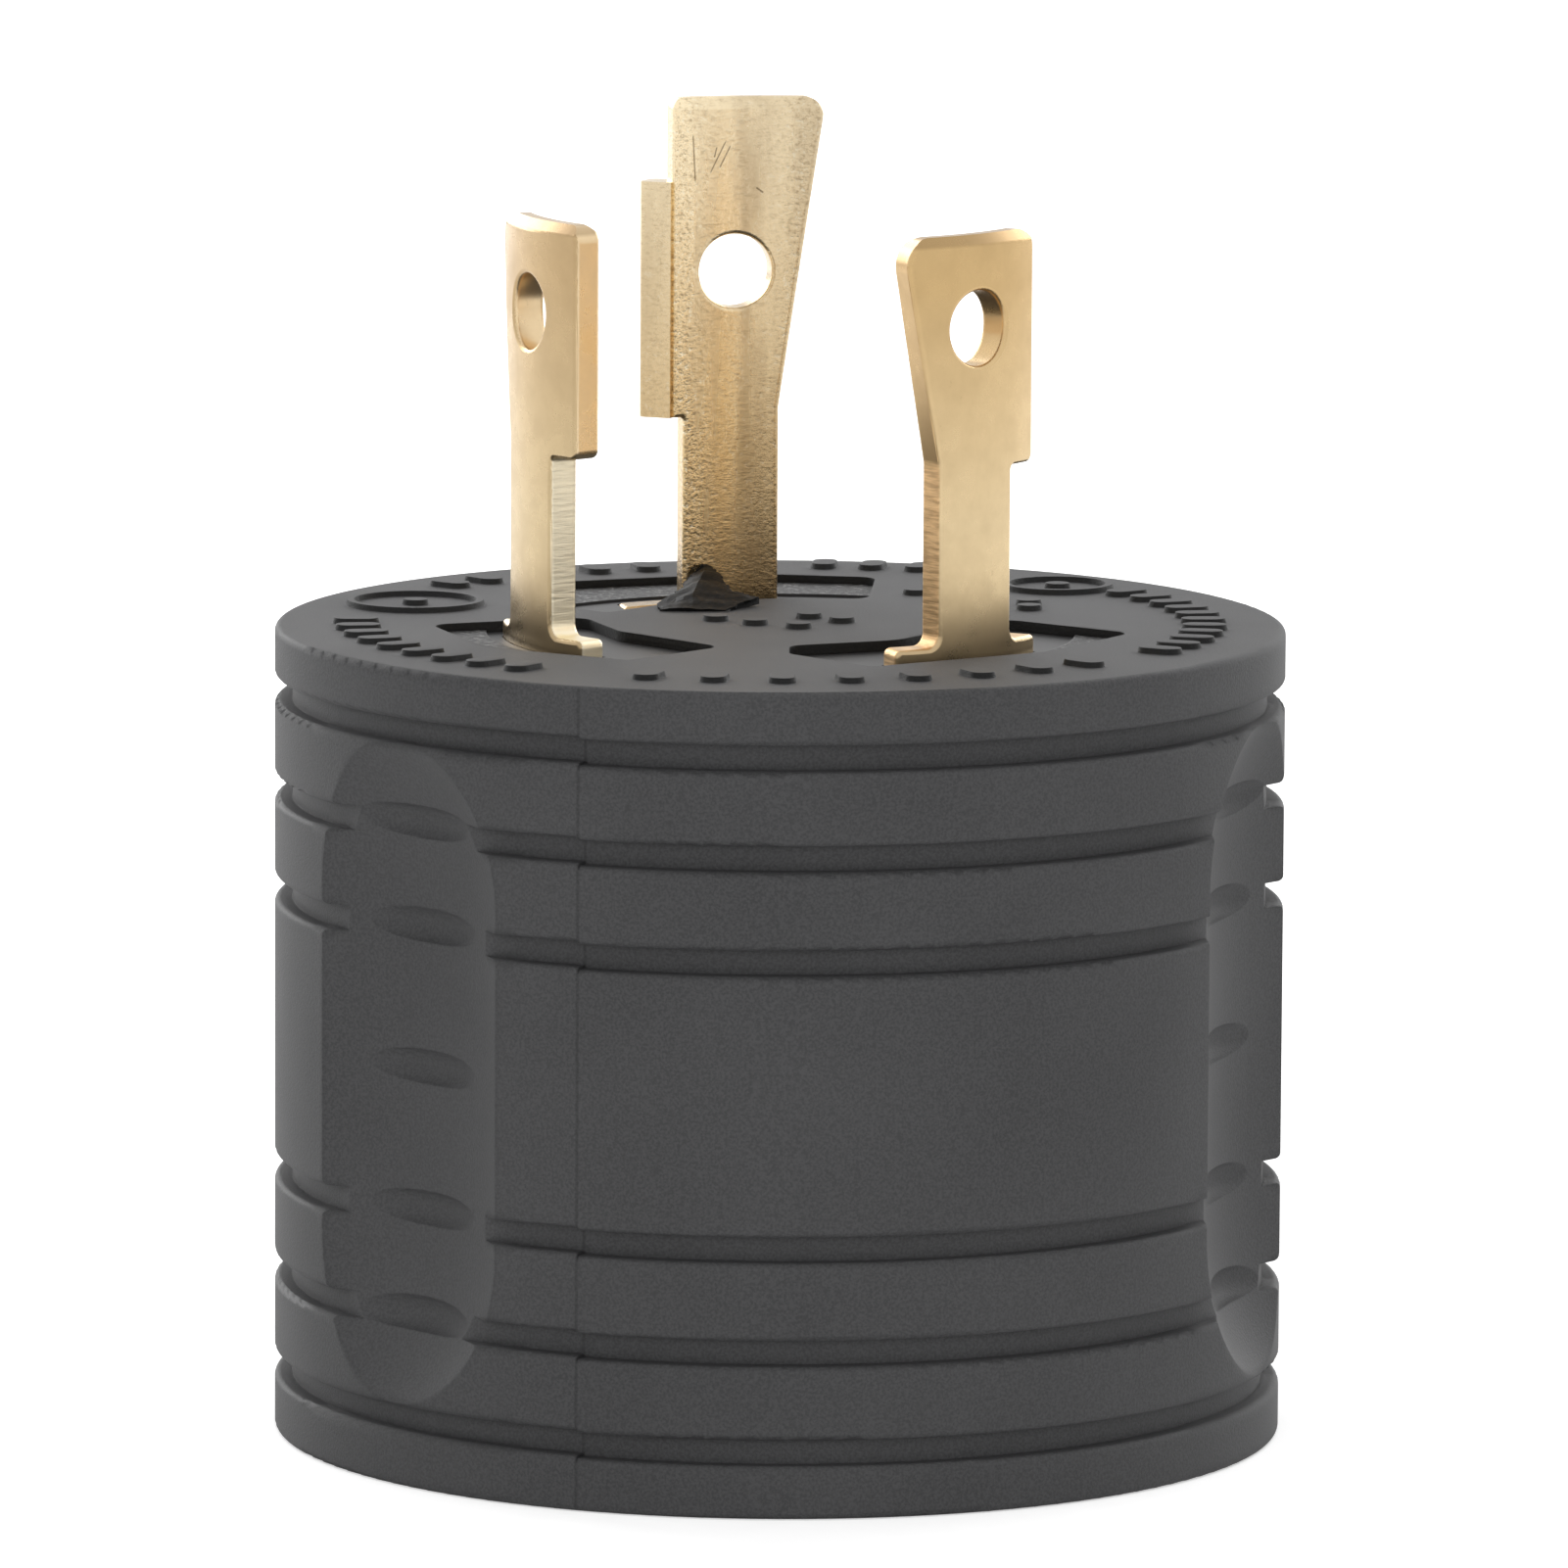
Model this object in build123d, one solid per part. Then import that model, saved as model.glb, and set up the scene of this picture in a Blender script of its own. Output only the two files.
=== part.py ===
from build123d import *
from math import atan2, cos, degrees, radians, sin, sqrt, tan
import os

# RV power adapter, in millimetres. The origin is on the body's axis, at the socket end that it stands on.
# +Z points along the plug's blades. Angles are measured from +X towards +Y, seen from the plug end.

# Grip body
body_diameter = 56.0
body_height = 45.0
rim_radius = 0.35
groove_end_distances = (3.6, 9.05, 14.7)
groove_width = 1.4
groove_depth = 1.0
groove_lip_radius = 0.3
parting_angle = 67.3
parting_mismatch = 0.15

# Finger scoops, each the print of a round-ended bar pressed into the side
scoop_angles = (102.0, 222.0, 342.0)
scoop_half_angle = 15.0
scoop_depth = 2.6
scoop_end_distance = 4.2
scoop_raise = 0.3

# Dimples across the floor of each scoop: one in the middle, and one in line with each groove that it cuts
dimple_length = 9.2
dimple_height = 1.9
dimple_depth = 0.6

# Plug face: a thin skin of the moulding over the blade carrier, with windows round the blades.
# A window's corners are (distance outside the blades' circle, angle past the blade's middle, corner radius).
face_skin = 0.6
line_window = (
    (4.0, -21.5, 1.2),
    (-4.2, -36.9, 1.2),
    (-5.9, -3.6, 2.5),
    (-5.3, 47.1, 1.2),
    (1.9, 36.9, 0.3),
    (3.7, 7.7, 6.0),
)
neutral_window = (
    (4.2, 36.5, 1.2),
    (2.8, 8.6, 3.0),
    (2.6, -28.6, 0.6),
    (-3.1, -42.4, 1.2),
    (-6.4, -41.5, 1.2),
    (-6.3, 0.3, 3.0),
    (-2.8, 56.8, 1.2),
)
ground_window = (
    (5.6, -26.9, 1.2),
    (6.3, -6.7, 9.0),
    (6.2, 23.6, 1.2),
    (0.5, 46.9, 1.2),
    (-4.8, 53.4, 0.5),
    (-4.5, 18.8, 1.5),
    (-4.5, -12.0, 2.0),
    (-3.4, -36.2, 1.2),
)

# Raised marks on the plug face, placed by their distance in from the rim. Each row of ticks has a distance in,
# a first angle, an angle from tick to tick and a count.
# A pip is (x, y), and a badge is (distance in, angle, radius).
mark_height = 0.3
mark_draft = 15.0
tick_length = 2.6
tick_width = 1.5
tick_insets = (4.8, 4.5, 4.5, 3.0, 3.6, 3.8)
tick_first_angles = (252.3, 181.0, 332.0, 71.5, 108.5, 134.0)
tick_angle_steps = (9.0, 6.6, 6.2, 6.4, 7.2, 6.5)
tick_counts = (8, 9, 11, 3, 2, 2)
pip_diameter = 1.5
pips = ((13.9, 6.6), (13.9, 8.8), (7.6, 13.0), (-3.6, 1.4), (-1.4, -0.2), (1.0, -1.6), (1.6, 2.6), (3.4, 0.9))
badge_wall = 0.55
badges = ((6.2, 159.6, 3.9), (5.6, 45.7, 3.2))

# Torn flash that leans on the ground blade. Its edge's corners are (x, distance in along Y from the circle of the
# blades' inner walls, corner radius).
flash_thickness = 0.4
flash_rise = 1.7
flash_edge = (
    (-6.9, 9.0, 0.3),
    (-2.9, 8.9, 0.4),
    (-2.6, 7.4, 0.2),
    (-1.2, 6.1, 0),
    (-2.6, 5.4, 0.3),
    (-4.2, -0.1, 0),
    (-5.2, 4.6, 0.6),
)

# Hard insert that carries the blades
grip_wall = 5.0
carrier_thickness = 7.9
carrier_land_margin = 0.9
carrier_land_height = 0.15
carrier_slot_clearance = 0.05
spigot_height = 1.0
spigot_wall = 0.7
spigot_clearance = 0.1

# Blades
blade_outer_radius = 15.4
blade_thickness = 1.8
blade_tip_chamfer = 0.55
blade_edge_radius = 0.25
blade_wedge_start = 11.0
line_blade_angle = 204.5
neutral_blade_angle = 314.7
ground_blade_angle = 102.0
neck_half_angle = 10.4
head_edge_angle = 18.7
head_taper_angle = 19.4
shoulder_half_angle = 20.5
ear_angle = 3.0
foot_height = 0.4
neck_length = 10.0
blade_reach = 22.85
lock_hole_diameter = 4.15
lock_hole_height = 17.75
line_blade_lift = 0.3
shoulder_corner = 0.4
neck_foot_corner = 0.7
step_inner_corner = 0.3
step_outer_corner = 0.5
tip_corner = 1.0
tapered_tip_corner = 1.6
taper_end_corner = 2.0
taper_end_rise = 0.4

# The ground blade is longer and wider, and part of its edge is bent out as a hook.
# Its sides are parallel, and their angles are those of the corners on its inner wall.
ground_neck_low_angle = 11.4
ground_neck_high_angle = 11.9
ground_head_edge_angle = 14.9
ground_head_taper_angle = 22.6
ground_foot_angle = 28.0
ground_foot_drop = 0.5
ground_reach = 28.0
ground_hole_angle = -0.8
ground_hole_height = 18.2
hook_angle = 15.5
hook_bend = 51.0
hook_length = 1.95
hook_top = 23.3
hook_front_corner = 0.3
hook_back_corner = 0.5
ground_foot_corner = 0.3
ground_step_corner = 0.2
ground_tip_corner = 0.7
ground_tapered_tip_corner = 1.0
ground_taper_end_rise = 0.5

# Tabs that the blades turn inward under the carrier, and the rivets through them.
# The tab's length and the rivet's inset are measured in from the blade's inner wall.
tab_width = 6.0
tab_bend_radius = 0.8
tab_length = 6.8
rivet_inset = 3.6
rivet_diameter = 3.0
rivet_head_diameter = 5.0
rivet_head_height = 1.2
rivet_head_clearance = 0.5
rivet_relief_depth = 1.8

# Receptacle core with the socket's slots and contact cells
pocket_margin = 1.4
slot_spacing = 19.0
slot_row_y = -3.3
slot_tilt = 30.0
slot_length = 8.6
slot_width = 2.4
socket_face_thickness = 3.5
entry_chamfer = 0.5
cell_width = 9.8
cell_thickness = 9.2
ground_hole_y = 11.0
ground_entry_diameter = 5.3
ground_cell_diameter = 9.2
core_groove_height = 18.0
core_groove_width = 3.0
core_groove_depth = 1.2

# Contacts
contact_thickness = 0.8
contact_width = 7.9
contact_bridge_span = 8.0
contact_plate_length = 12.0
contact_plate_width = 7.0
contact_gap = 1.5
contact_lift = 1.5
contact_flare = 1.3
contact_grip_low = 8.0
contact_grip_high = 14.0
contact_shoulder = 25.0
sleeve_bore = 4.8
sleeve_wall = 0.9
sleeve_top = 24.0
sleeve_slit = 0.8
sleeve_tail_width = 4.0
ground_plate_width = 8.0

# Steel bands and ring that press the contacts closed
band_thickness = 0.5
band_height = 4.0
band_slit = 1.2

# Screws that hold the carrier on the core
screw_inset = 3.7
screw_angles = (33.0, 154.0, 263.0)
screw_diameter = 2.9
screw_length = 14.0
screw_head_diameter = 5.4
screw_head_height = 1.9
screw_hole_clearance = 0.15
screw_recess_width = 0.7
screw_recess_length = 2.8
screw_recess_depth = 1.0

body_radius = body_diameter / 2
body_middle = body_height / 2
scoop_height = body_height - 2 * scoop_end_distance
scoop_middle = body_middle + scoop_raise
core_radius = body_radius - grip_wall
carrier_land_radius = blade_outer_radius + carrier_land_margin
pocket_radius = blade_outer_radius + pocket_margin
screw_circle_radius = core_radius - screw_inset
blade_inner_radius = blade_outer_radius - blade_thickness
tab_end_radius = blade_inner_radius - tab_length
rivet_circle_radius = blade_inner_radius - rivet_inset
carrier_front = body_height - face_skin
carrier_back = carrier_front - carrier_thickness
tab_top = carrier_back - rivet_head_clearance - rivet_head_height
tab_bottom = tab_top - blade_thickness
pocket_floor = tab_bottom - contact_thickness
screw_seat = carrier_front - screw_head_height - screw_hole_clearance
slot_x = slot_spacing / 2
sleeve_radius = sleeve_bore / 2 + sleeve_wall

# A cutting tool starts or ends this far outside the piece that it cuts.
tool_margin = 1.0
# A point is taken to lie on a curved wall when it is this near to it.
wall_tolerance = 0.02


def ring(outer_radius, inner_radius, low, high):
    """A ring about the body's axis between two heights."""
    tall = high - low
    wall = Circle(outer_radius) - Circle(inner_radius)
    return Pos(0, 0, low) * extrude(wall, tall)


def disc(radius, low, high):
    """A round slab about the body's axis between two heights."""
    return Pos(0, 0, low) * extrude(Circle(radius), high - low)


def polar(radius, angle):
    """The point of the plug's face at a radius and an angle."""
    return (radius * cos(radians(angle)), radius * sin(radians(angle)))


def rounded_outline(corners):
    """A face from corners given as (x, y, corner radius)."""
    points = [(x, y) for x, y, _ in corners]
    radii = [radius for _, _, radius in corners]
    return make_face(FilletPolyline(*points, radius=radii, close=True))


def grip_half(groove_shift):
    """Half of the grooved body, turned through 180 degrees from +X."""
    half_groove = groove_width / 2
    floor_radius = body_radius - groove_depth
    centres = [groove_shift + distance for distance in groove_end_distances]
    centres += [groove_shift + body_height - distance for distance in reversed(groove_end_distances)]
    corners = [(0, 0, 0), (body_radius, 0, rim_radius)]
    for centre in centres:
        low = centre - half_groove
        high = centre + half_groove
        corners.append((body_radius, low, groove_lip_radius))
        corners.append((floor_radius, low, 0))
        corners.append((floor_radius, high, 0))
        corners.append((body_radius, high, groove_lip_radius))
    corners.append((body_radius, body_height, rim_radius))
    corners.append((0, body_height, 0))
    profile = Plane.XZ * rounded_outline(corners)
    return revolve(profile, Axis.Z, 180)


def grooved_body():
    """The round body: its two mould halves leave the grooves a little out of line at the parting line."""
    upper_half = Rot(0, 0, parting_angle) * grip_half(parting_mismatch)
    lower_half = Rot(0, 0, parting_angle + 180) * grip_half(0)
    return upper_half + lower_half


def scoop_bar_radius():
    """Radius of the bar whose print has the scoop's width and depth on the round body."""
    half_width = body_radius * sin(radians(scoop_half_angle))
    rise = body_radius * (1 - cos(radians(scoop_half_angle))) - scoop_depth
    return -(rise * rise + half_width * half_width) / (2 * rise)


def scoop_floor(height, bar_radius, end_rise):
    """Distance from the body's axis to the scoop's floor at a height above the scoop's middle."""
    past_end = max(abs(height) - end_rise, 0)
    axis_distance = body_radius - scoop_depth + bar_radius
    return axis_distance - sqrt(bar_radius * bar_radius - past_end * past_end)


def finger_scoop():
    """One scoop with its dimples, as a cutting tool on the +X side."""
    bar_radius = scoop_bar_radius()
    axis_distance = body_radius - scoop_depth + bar_radius
    end_length = sqrt(bar_radius * bar_radius - (axis_distance - body_radius) ** 2)
    end_rise = scoop_height / 2 - end_length
    tool = Cylinder(bar_radius, 2 * end_rise)
    tool += Pos(0, 0, end_rise) * Sphere(bar_radius)
    tool += Pos(0, 0, -end_rise) * Sphere(bar_radius)
    tool = Pos(axis_distance, 0, 0) * tool
    # A dimple is the print of a rolled wheel rim that is rounder than the scoop.
    half_length = dimple_length / 2
    curvature = 1 / bar_radius + 2 * dimple_depth / (half_length * half_length)
    wheel_radius = 1 / curvature
    half_height = dimple_height / 2
    tread = (half_height * half_height + dimple_depth * dimple_depth) / (2 * dimple_depth)
    groove_offsets = [body_middle - distance for distance in groove_end_distances[1:]]
    for offset in [0] + groove_offsets + [-offset for offset in groove_offsets]:
        floor = scoop_floor(offset, bar_radius, end_rise)
        wheel = Torus(wheel_radius - tread, tread)
        tool += Pos(floor - dimple_depth + wheel_radius, 0, offset) * wheel
    return Pos(0, 0, scoop_middle) * tool


def face_window(blade_angle, corners):
    """One window in the plug face, as an outline."""
    outline = []
    for outside, turn, corner_radius in corners:
        x, y = polar(blade_outer_radius + outside, blade_angle + turn)
        outline.append((x, y, corner_radius))
    return rounded_outline(outline)


def face_windows():
    """The three windows in the plug face."""
    return [
        face_window(line_blade_angle, line_window),
        face_window(neutral_blade_angle, neutral_window),
        face_window(ground_blade_angle, ground_window),
    ]


def raised_mark(outline):
    """A raised mark with sloping sides on the plug face."""
    return Pos(0, 0, body_height) * extrude(outline, mark_height, taper=mark_draft)


def raised_marks():
    """Plain ticks, pips and ring badges in the places where the face carries raised marks."""
    tick = SlotOverall(tick_length, tick_width)
    pip = Circle(pip_diameter / 2)
    marks = []
    for inset, first, step, count in zip(tick_insets, tick_first_angles, tick_angle_steps, tick_counts):
        for number in range(count):
            turn = Rot(0, 0, first + number * step)
            marks.append(raised_mark(turn * Pos(body_radius - inset, 0) * tick))
    for x, y in pips:
        marks.append(raised_mark(Pos(x, y) * pip))
    for inset, angle, radius in badges:
        place = Rot(0, 0, angle) * Pos(body_radius - inset, 0)
        rim = Circle(radius) - Circle(radius - badge_wall)
        marks.append(raised_mark(place * rim))
        marks.append(raised_mark(place * pip))
    return marks


def torn_flash():
    """A torn scrap of the face skin: it rises from the face and leans on the ground blade's inner side."""
    corners = [(x, blade_inner_radius - inset, radius) for x, inset, radius in flash_edge]
    low_y = min(y for _, y, _ in corners)
    run = max(y for _, y, _ in corners) - low_y
    slope = degrees(atan2(flash_rise, run))
    lying = Pos(0, -low_y, 0) * extrude(rounded_outline(corners), flash_thickness)
    return Pos(0, low_y, body_height - flash_thickness) * Rot(slope, 0, 0) * lying


def carrier_envelope():
    """The blade carrier's outside, with the slightly raised land round the blades."""
    plain = disc(core_radius, carrier_back, carrier_front)
    land_top = carrier_front + carrier_land_height
    return plain + ring(core_radius, carrier_land_radius, carrier_front, land_top)


def core_envelope():
    """The receptacle core's outside, with the groove that keys it in the moulding."""
    groove_low = core_groove_height - core_groove_width / 2
    groove_high = core_groove_height + core_groove_width / 2
    groove = ring(core_radius + tool_margin, core_radius - core_groove_depth, groove_low, groove_high)
    return disc(core_radius, 0, carrier_back) - groove


def blade_prism(outline):
    """A wedge whose sides point at the body's axis: corners are (angle, height, corner radius)."""
    sections = []
    for distance in (blade_wedge_start, blade_outer_radius + tool_margin):
        corners = [(distance * tan(radians(angle)), height, radius) for angle, height, radius in outline]
        sections.append(Plane.YZ.offset(distance) * rounded_outline(corners))
    return loft(sections, ruled=True)


def parallel_prism(outline):
    """The same with parallel sides: the angles are those at which the sides meet the blade's inner wall."""
    corners = []
    for angle, height, radius in outline:
        corners.append((blade_inner_radius * sin(radians(angle)), height, radius))
    return Plane.YZ * extrude(rounded_outline(corners), blade_outer_radius + tool_margin)


def blade_wall(tip):
    """The curved brass wall that a blade is cut from, with both edges of its tip chamfered."""
    corners = [
        (blade_inner_radius, tab_top),
        (blade_outer_radius, tab_top),
        (blade_outer_radius, tip - blade_tip_chamfer),
        (blade_outer_radius - blade_tip_chamfer, tip),
        (blade_inner_radius + blade_tip_chamfer, tip),
        (blade_inner_radius, tip - blade_tip_chamfer),
    ]
    profile = Plane.XZ * make_face(Polyline(*corners, close=True))
    return revolve(profile, Axis.Z, 360)


def on_blade_wall(point, low, high):
    """Whether a point lies on the blade's inner or outer wall, between two heights."""
    distance = sqrt(point.X ** 2 + point.Y ** 2)
    off_inner = abs(distance - blade_inner_radius)
    off_outer = abs(distance - blade_outer_radius)
    return min(off_inner, off_outer) < wall_tolerance and low < point.Z < high


def coined(blade, tip):
    """Round the edges of a blade's two walls, from its foot up to the chamfer at its tip."""
    low = body_height
    high = tip - blade_tip_chamfer + wall_tolerance
    edges = []
    for edge in blade.edges():
        if all(on_blade_wall(edge @ share, low, high) for share in (0, 0.5, 1)):
            edges.append(edge)
    return fillet(edges, blade_edge_radius)


def blade_tab():
    """The tab at the blade's foot: it turns inward under the carrier and has the rivet's hole."""
    outer_bend = tab_bend_radius + blade_thickness
    corners = [
        (blade_outer_radius, carrier_back, 0),
        (blade_inner_radius, carrier_back, 0),
        (blade_inner_radius, tab_top, tab_bend_radius),
        (tab_end_radius, tab_top, 0),
        (tab_end_radius, tab_bottom, 0),
        (blade_outer_radius, tab_bottom, outer_bend),
    ]
    profile = Plane.XZ * rounded_outline(corners)
    tab = extrude(profile, tab_width / 2, both=True)
    return tab - Pos(rivet_circle_radius, 0, tab_top) * Cylinder(rivet_diameter / 2, 4 * blade_thickness)


def lock_hole(angle, height):
    """The round hole through a blade's head."""
    drill = Rot(0, 90, 0) * Cylinder(lock_hole_diameter / 2, 4 * blade_thickness)
    return Rot(0, 0, angle) * Pos(blade_outer_radius, 0, body_height + height) * drill


def power_blade(lift):
    """The line or neutral blade, with the middle of its neck on +X; its head stands higher by the lift."""
    tip = body_height + blade_reach + lift
    foot = body_height + foot_height
    step = body_height + neck_length + lift
    ear = shoulder_half_angle + ear_angle
    outline = [
        (-ear, tab_top, 0),
        (ear, tab_top, 0),
        (ear, carrier_back, 0),
        (shoulder_half_angle, carrier_back, 0),
        (shoulder_half_angle, foot, shoulder_corner),
        (neck_half_angle, foot, neck_foot_corner),
        (neck_half_angle, step, step_inner_corner),
        (head_edge_angle, step, step_outer_corner),
        (head_edge_angle, tip, tip_corner),
        (-head_taper_angle, tip, tapered_tip_corner),
        (-neck_half_angle, step + taper_end_rise, taper_end_corner),
        (-neck_half_angle, foot, neck_foot_corner),
        (-shoulder_half_angle, foot, shoulder_corner),
        (-shoulder_half_angle, carrier_back, 0),
        (-ear, carrier_back, 0),
    ]
    blade = (blade_prism(outline) & blade_wall(tip)) - lock_hole(0, lock_hole_height + lift)
    return coined(blade, tip) + blade_tab()


def hook():
    """The flange bent outward from the ground blade's edge."""
    lean = radians(90 + hook_angle - hook_bend)
    crease_x, crease_y = polar(blade_inner_radius, hook_angle)
    end_x = crease_x + hook_length * cos(lean)
    end_y = crease_y + hook_length * sin(lean)
    back_x = blade_thickness * sin(lean)
    back_y = -blade_thickness * cos(lean)
    corners = [
        (crease_x, crease_y, 0),
        (crease_x + back_x, crease_y + back_y, 0),
        (end_x + back_x, end_y + back_y, hook_back_corner),
        (end_x, end_y, hook_front_corner),
    ]
    return Pos(0, 0, body_height + neck_length) * extrude(rounded_outline(corners), hook_top - neck_length)


def ground_blade():
    """The ground blade, with the middle of its neck on +X."""
    tip = body_height + ground_reach
    foot = body_height - ground_foot_drop
    step = body_height + neck_length
    low_ear = ground_neck_low_angle + ear_angle
    high_ear = ground_foot_angle + ear_angle
    outline = [
        (-low_ear, tab_top, 0),
        (high_ear, tab_top, 0),
        (high_ear, carrier_back, 0),
        (ground_foot_angle, carrier_back, 0),
        (ground_foot_angle, foot, ground_foot_corner),
        (ground_neck_high_angle, foot, ground_foot_corner),
        (ground_neck_high_angle, step, ground_step_corner),
        (ground_head_edge_angle, step, 0),
        (ground_head_edge_angle, tip, ground_tip_corner),
        (-ground_head_taper_angle, tip, ground_tapered_tip_corner),
        (-ground_neck_low_angle, step + ground_taper_end_rise, taper_end_corner),
        (-ground_neck_low_angle, carrier_back, 0),
        (-low_ear, carrier_back, 0),
    ]
    blade = (parallel_prism(outline) & blade_wall(tip)) - lock_hole(ground_hole_angle, ground_hole_height)
    return coined(blade, tip) + hook() + blade_tab()


def slot_wall():
    """The curved wall of space that the blades' slots are cut from, from below the carrier to above it."""
    extra = carrier_slot_clearance
    corners = [
        (blade_inner_radius - extra, carrier_back - tool_margin),
        (blade_outer_radius + extra, carrier_back - tool_margin),
        (blade_outer_radius + extra, carrier_front + tool_margin),
        (blade_inner_radius - extra, carrier_front + tool_margin),
    ]
    return Plane.XZ * make_face(Polyline(*corners, close=True))


def blade_slot(blade_angle):
    """The slot in the carrier that the shoulder of the line or neutral blade stands in."""
    half_sweep = shoulder_half_angle + degrees(carrier_slot_clearance / blade_inner_radius)
    return Rot(0, 0, blade_angle - half_sweep) * revolve(slot_wall(), Axis.Z, 2 * half_sweep)


def ground_slot():
    """The slot in the carrier that the ground blade stands in, with parallel ends."""
    extra = carrier_slot_clearance
    low = -blade_inner_radius * sin(radians(ground_neck_low_angle)) - extra
    high = blade_inner_radius * sin(radians(ground_foot_angle)) + extra
    block = Box(2 * body_radius, high - low, 2 * body_height, align=(Align.MIN, Align.MIN, Align.MIN))
    return Rot(0, 0, ground_blade_angle) * (revolve(slot_wall(), Axis.Z, 360) & Pos(0, low, 0) * block)


def blade_carrier():
    """The hard insert disc: blade slots, a spigot into the core's pocket and counterbored screw holes."""
    spigot_outer = pocket_radius - spigot_clearance
    spigot = ring(spigot_outer, spigot_outer - spigot_wall, carrier_back - spigot_height, carrier_back)
    carrier = carrier_envelope() + spigot
    carrier -= blade_slot(line_blade_angle) + blade_slot(neutral_blade_angle)
    carrier -= ground_slot()
    hole = Circle(screw_diameter / 2 + screw_hole_clearance)
    counterbore = Circle(screw_head_diameter / 2 + screw_hole_clearance)
    land_top = carrier_front + carrier_land_height
    for angle in screw_angles:
        x, y = polar(screw_circle_radius, angle)
        carrier -= Pos(x, y, carrier_back - spigot_height) * extrude(hole, spigot_height + carrier_thickness)
        carrier -= Pos(x, y, screw_seat) * extrude(counterbore, land_top - screw_seat)
    return carrier


def core_screw(angle):
    """One screw with a cross recess, head down in the carrier's counterbore."""
    head_top = screw_seat + screw_head_height
    screw = Pos(0, 0, screw_seat) * extrude(Circle(screw_head_diameter / 2), screw_head_height)
    screw += Pos(0, 0, screw_seat - screw_length) * extrude(Circle(screw_diameter / 2), screw_length)
    for turn in (0, 90):
        recess = Rot(0, 0, turn) * Box(screw_recess_length, screw_recess_width, 2 * screw_recess_depth)
        screw -= Pos(0, 0, head_top) * recess
    x, y = polar(screw_circle_radius, angle)
    return Pos(x, y, 0) * screw


def slot_place(side):
    """Where a flat contact sits: side is -1 for line and 1 for neutral."""
    return Pos(side * slot_x, slot_row_y, 0) * Rot(0, 0, -side * slot_tilt)


def rivet_place(blade_angle):
    """The centre of a blade's rivet on the pocket's floor."""
    x, y = polar(rivet_circle_radius, blade_angle)
    return Pos(x, y, 0)


def socket_core():
    """The receptacle core: two angled slots and a ground hole open into cells under a shallow pocket."""
    core = core_envelope() - disc(pocket_radius, pocket_floor, carrier_back + tool_margin)
    cell_tall = pocket_floor - socket_face_thickness + tool_margin
    for side in (-1, 1):
        slot = extrude(Rectangle(slot_width, slot_length), socket_face_thickness + tool_margin)
        cell = Pos(0, 0, socket_face_thickness) * extrude(Rectangle(cell_thickness, cell_width), cell_tall)
        mouth = Rectangle(slot_width + 4 * entry_chamfer, slot_length + 4 * entry_chamfer)
        lead_in = Pos(0, 0, -entry_chamfer) * extrude(mouth, 2 * entry_chamfer, taper=45)
        core -= slot_place(side) * (slot + cell + lead_in)
    bore = extrude(Circle(ground_entry_diameter / 2), socket_face_thickness + tool_margin)
    cell = Pos(0, 0, socket_face_thickness) * extrude(Circle(ground_cell_diameter / 2), cell_tall)
    core -= Pos(0, ground_hole_y, 0) * (bore + cell)
    relief = extrude(Circle(rivet_head_diameter / 2 + rivet_head_clearance), rivet_relief_depth + tool_margin)
    for blade_angle in (line_blade_angle, neutral_blade_angle, ground_blade_angle):
        core -= rivet_place(blade_angle) * Pos(0, 0, pocket_floor - rivet_relief_depth) * relief
    pilot = extrude(Circle(screw_diameter / 2), screw_length)
    for angle in screw_angles:
        x, y = polar(screw_circle_radius, angle)
        core -= Pos(x, y, screw_seat - screw_length) * pilot
    return core


def rivet_hole(blade_angle):
    """The hole that a rivet passes through."""
    drill = Cylinder(rivet_diameter / 2, 4 * blade_thickness)
    return rivet_place(blade_angle) * Pos(0, 0, tab_bottom) * drill


def flat_contact(side, blade_angle):
    """One brass strip: a plate on the pocket's floor, and two legs that close to a gap for a flat blade."""
    half_span = contact_bridge_span / 2
    half_gap = contact_gap / 2
    low = socket_face_thickness + contact_lift
    inner = [
        (half_span - contact_thickness, pocket_floor),
        (half_span - contact_thickness, contact_shoulder),
        (half_gap, contact_grip_high),
        (half_gap, contact_grip_low),
        (half_gap + contact_flare, low),
    ]
    outer = [
        (half_gap + contact_flare + contact_thickness, low),
        (half_gap + contact_thickness, contact_grip_low),
        (half_gap + contact_thickness, contact_grip_high),
        (half_span, contact_shoulder),
        (half_span, tab_bottom),
    ]
    mirrored_outer = [(-x, z) for x, z in reversed(outer)]
    mirrored_inner = [(-x, z) for x, z in reversed(inner)]
    outline = Polyline(*inner, *outer, *mirrored_outer, *mirrored_inner, close=True)
    strip = extrude(Plane.XZ * make_face(outline), contact_width / 2, both=True)
    plate = extrude(Rectangle(contact_bridge_span, contact_plate_length), contact_thickness)
    contact = slot_place(side) * (strip + Pos(0, 0, pocket_floor) * plate)
    socket_x = side * slot_x
    rivet_x, rivet_y = polar(rivet_circle_radius, blade_angle)
    reach = sqrt((rivet_x - socket_x) ** 2 + (rivet_y - slot_row_y) ** 2)
    heading = degrees(atan2(rivet_y - slot_row_y, rivet_x - socket_x))
    link = SlotCenterToCenter(reach, contact_plate_width)
    link = Pos(socket_x, slot_row_y) * Rot(0, 0, heading) * Pos(reach / 2, 0) * link
    contact += Pos(0, 0, pocket_floor) * extrude(link, contact_thickness)
    return contact - rivet_hole(blade_angle)


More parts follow.
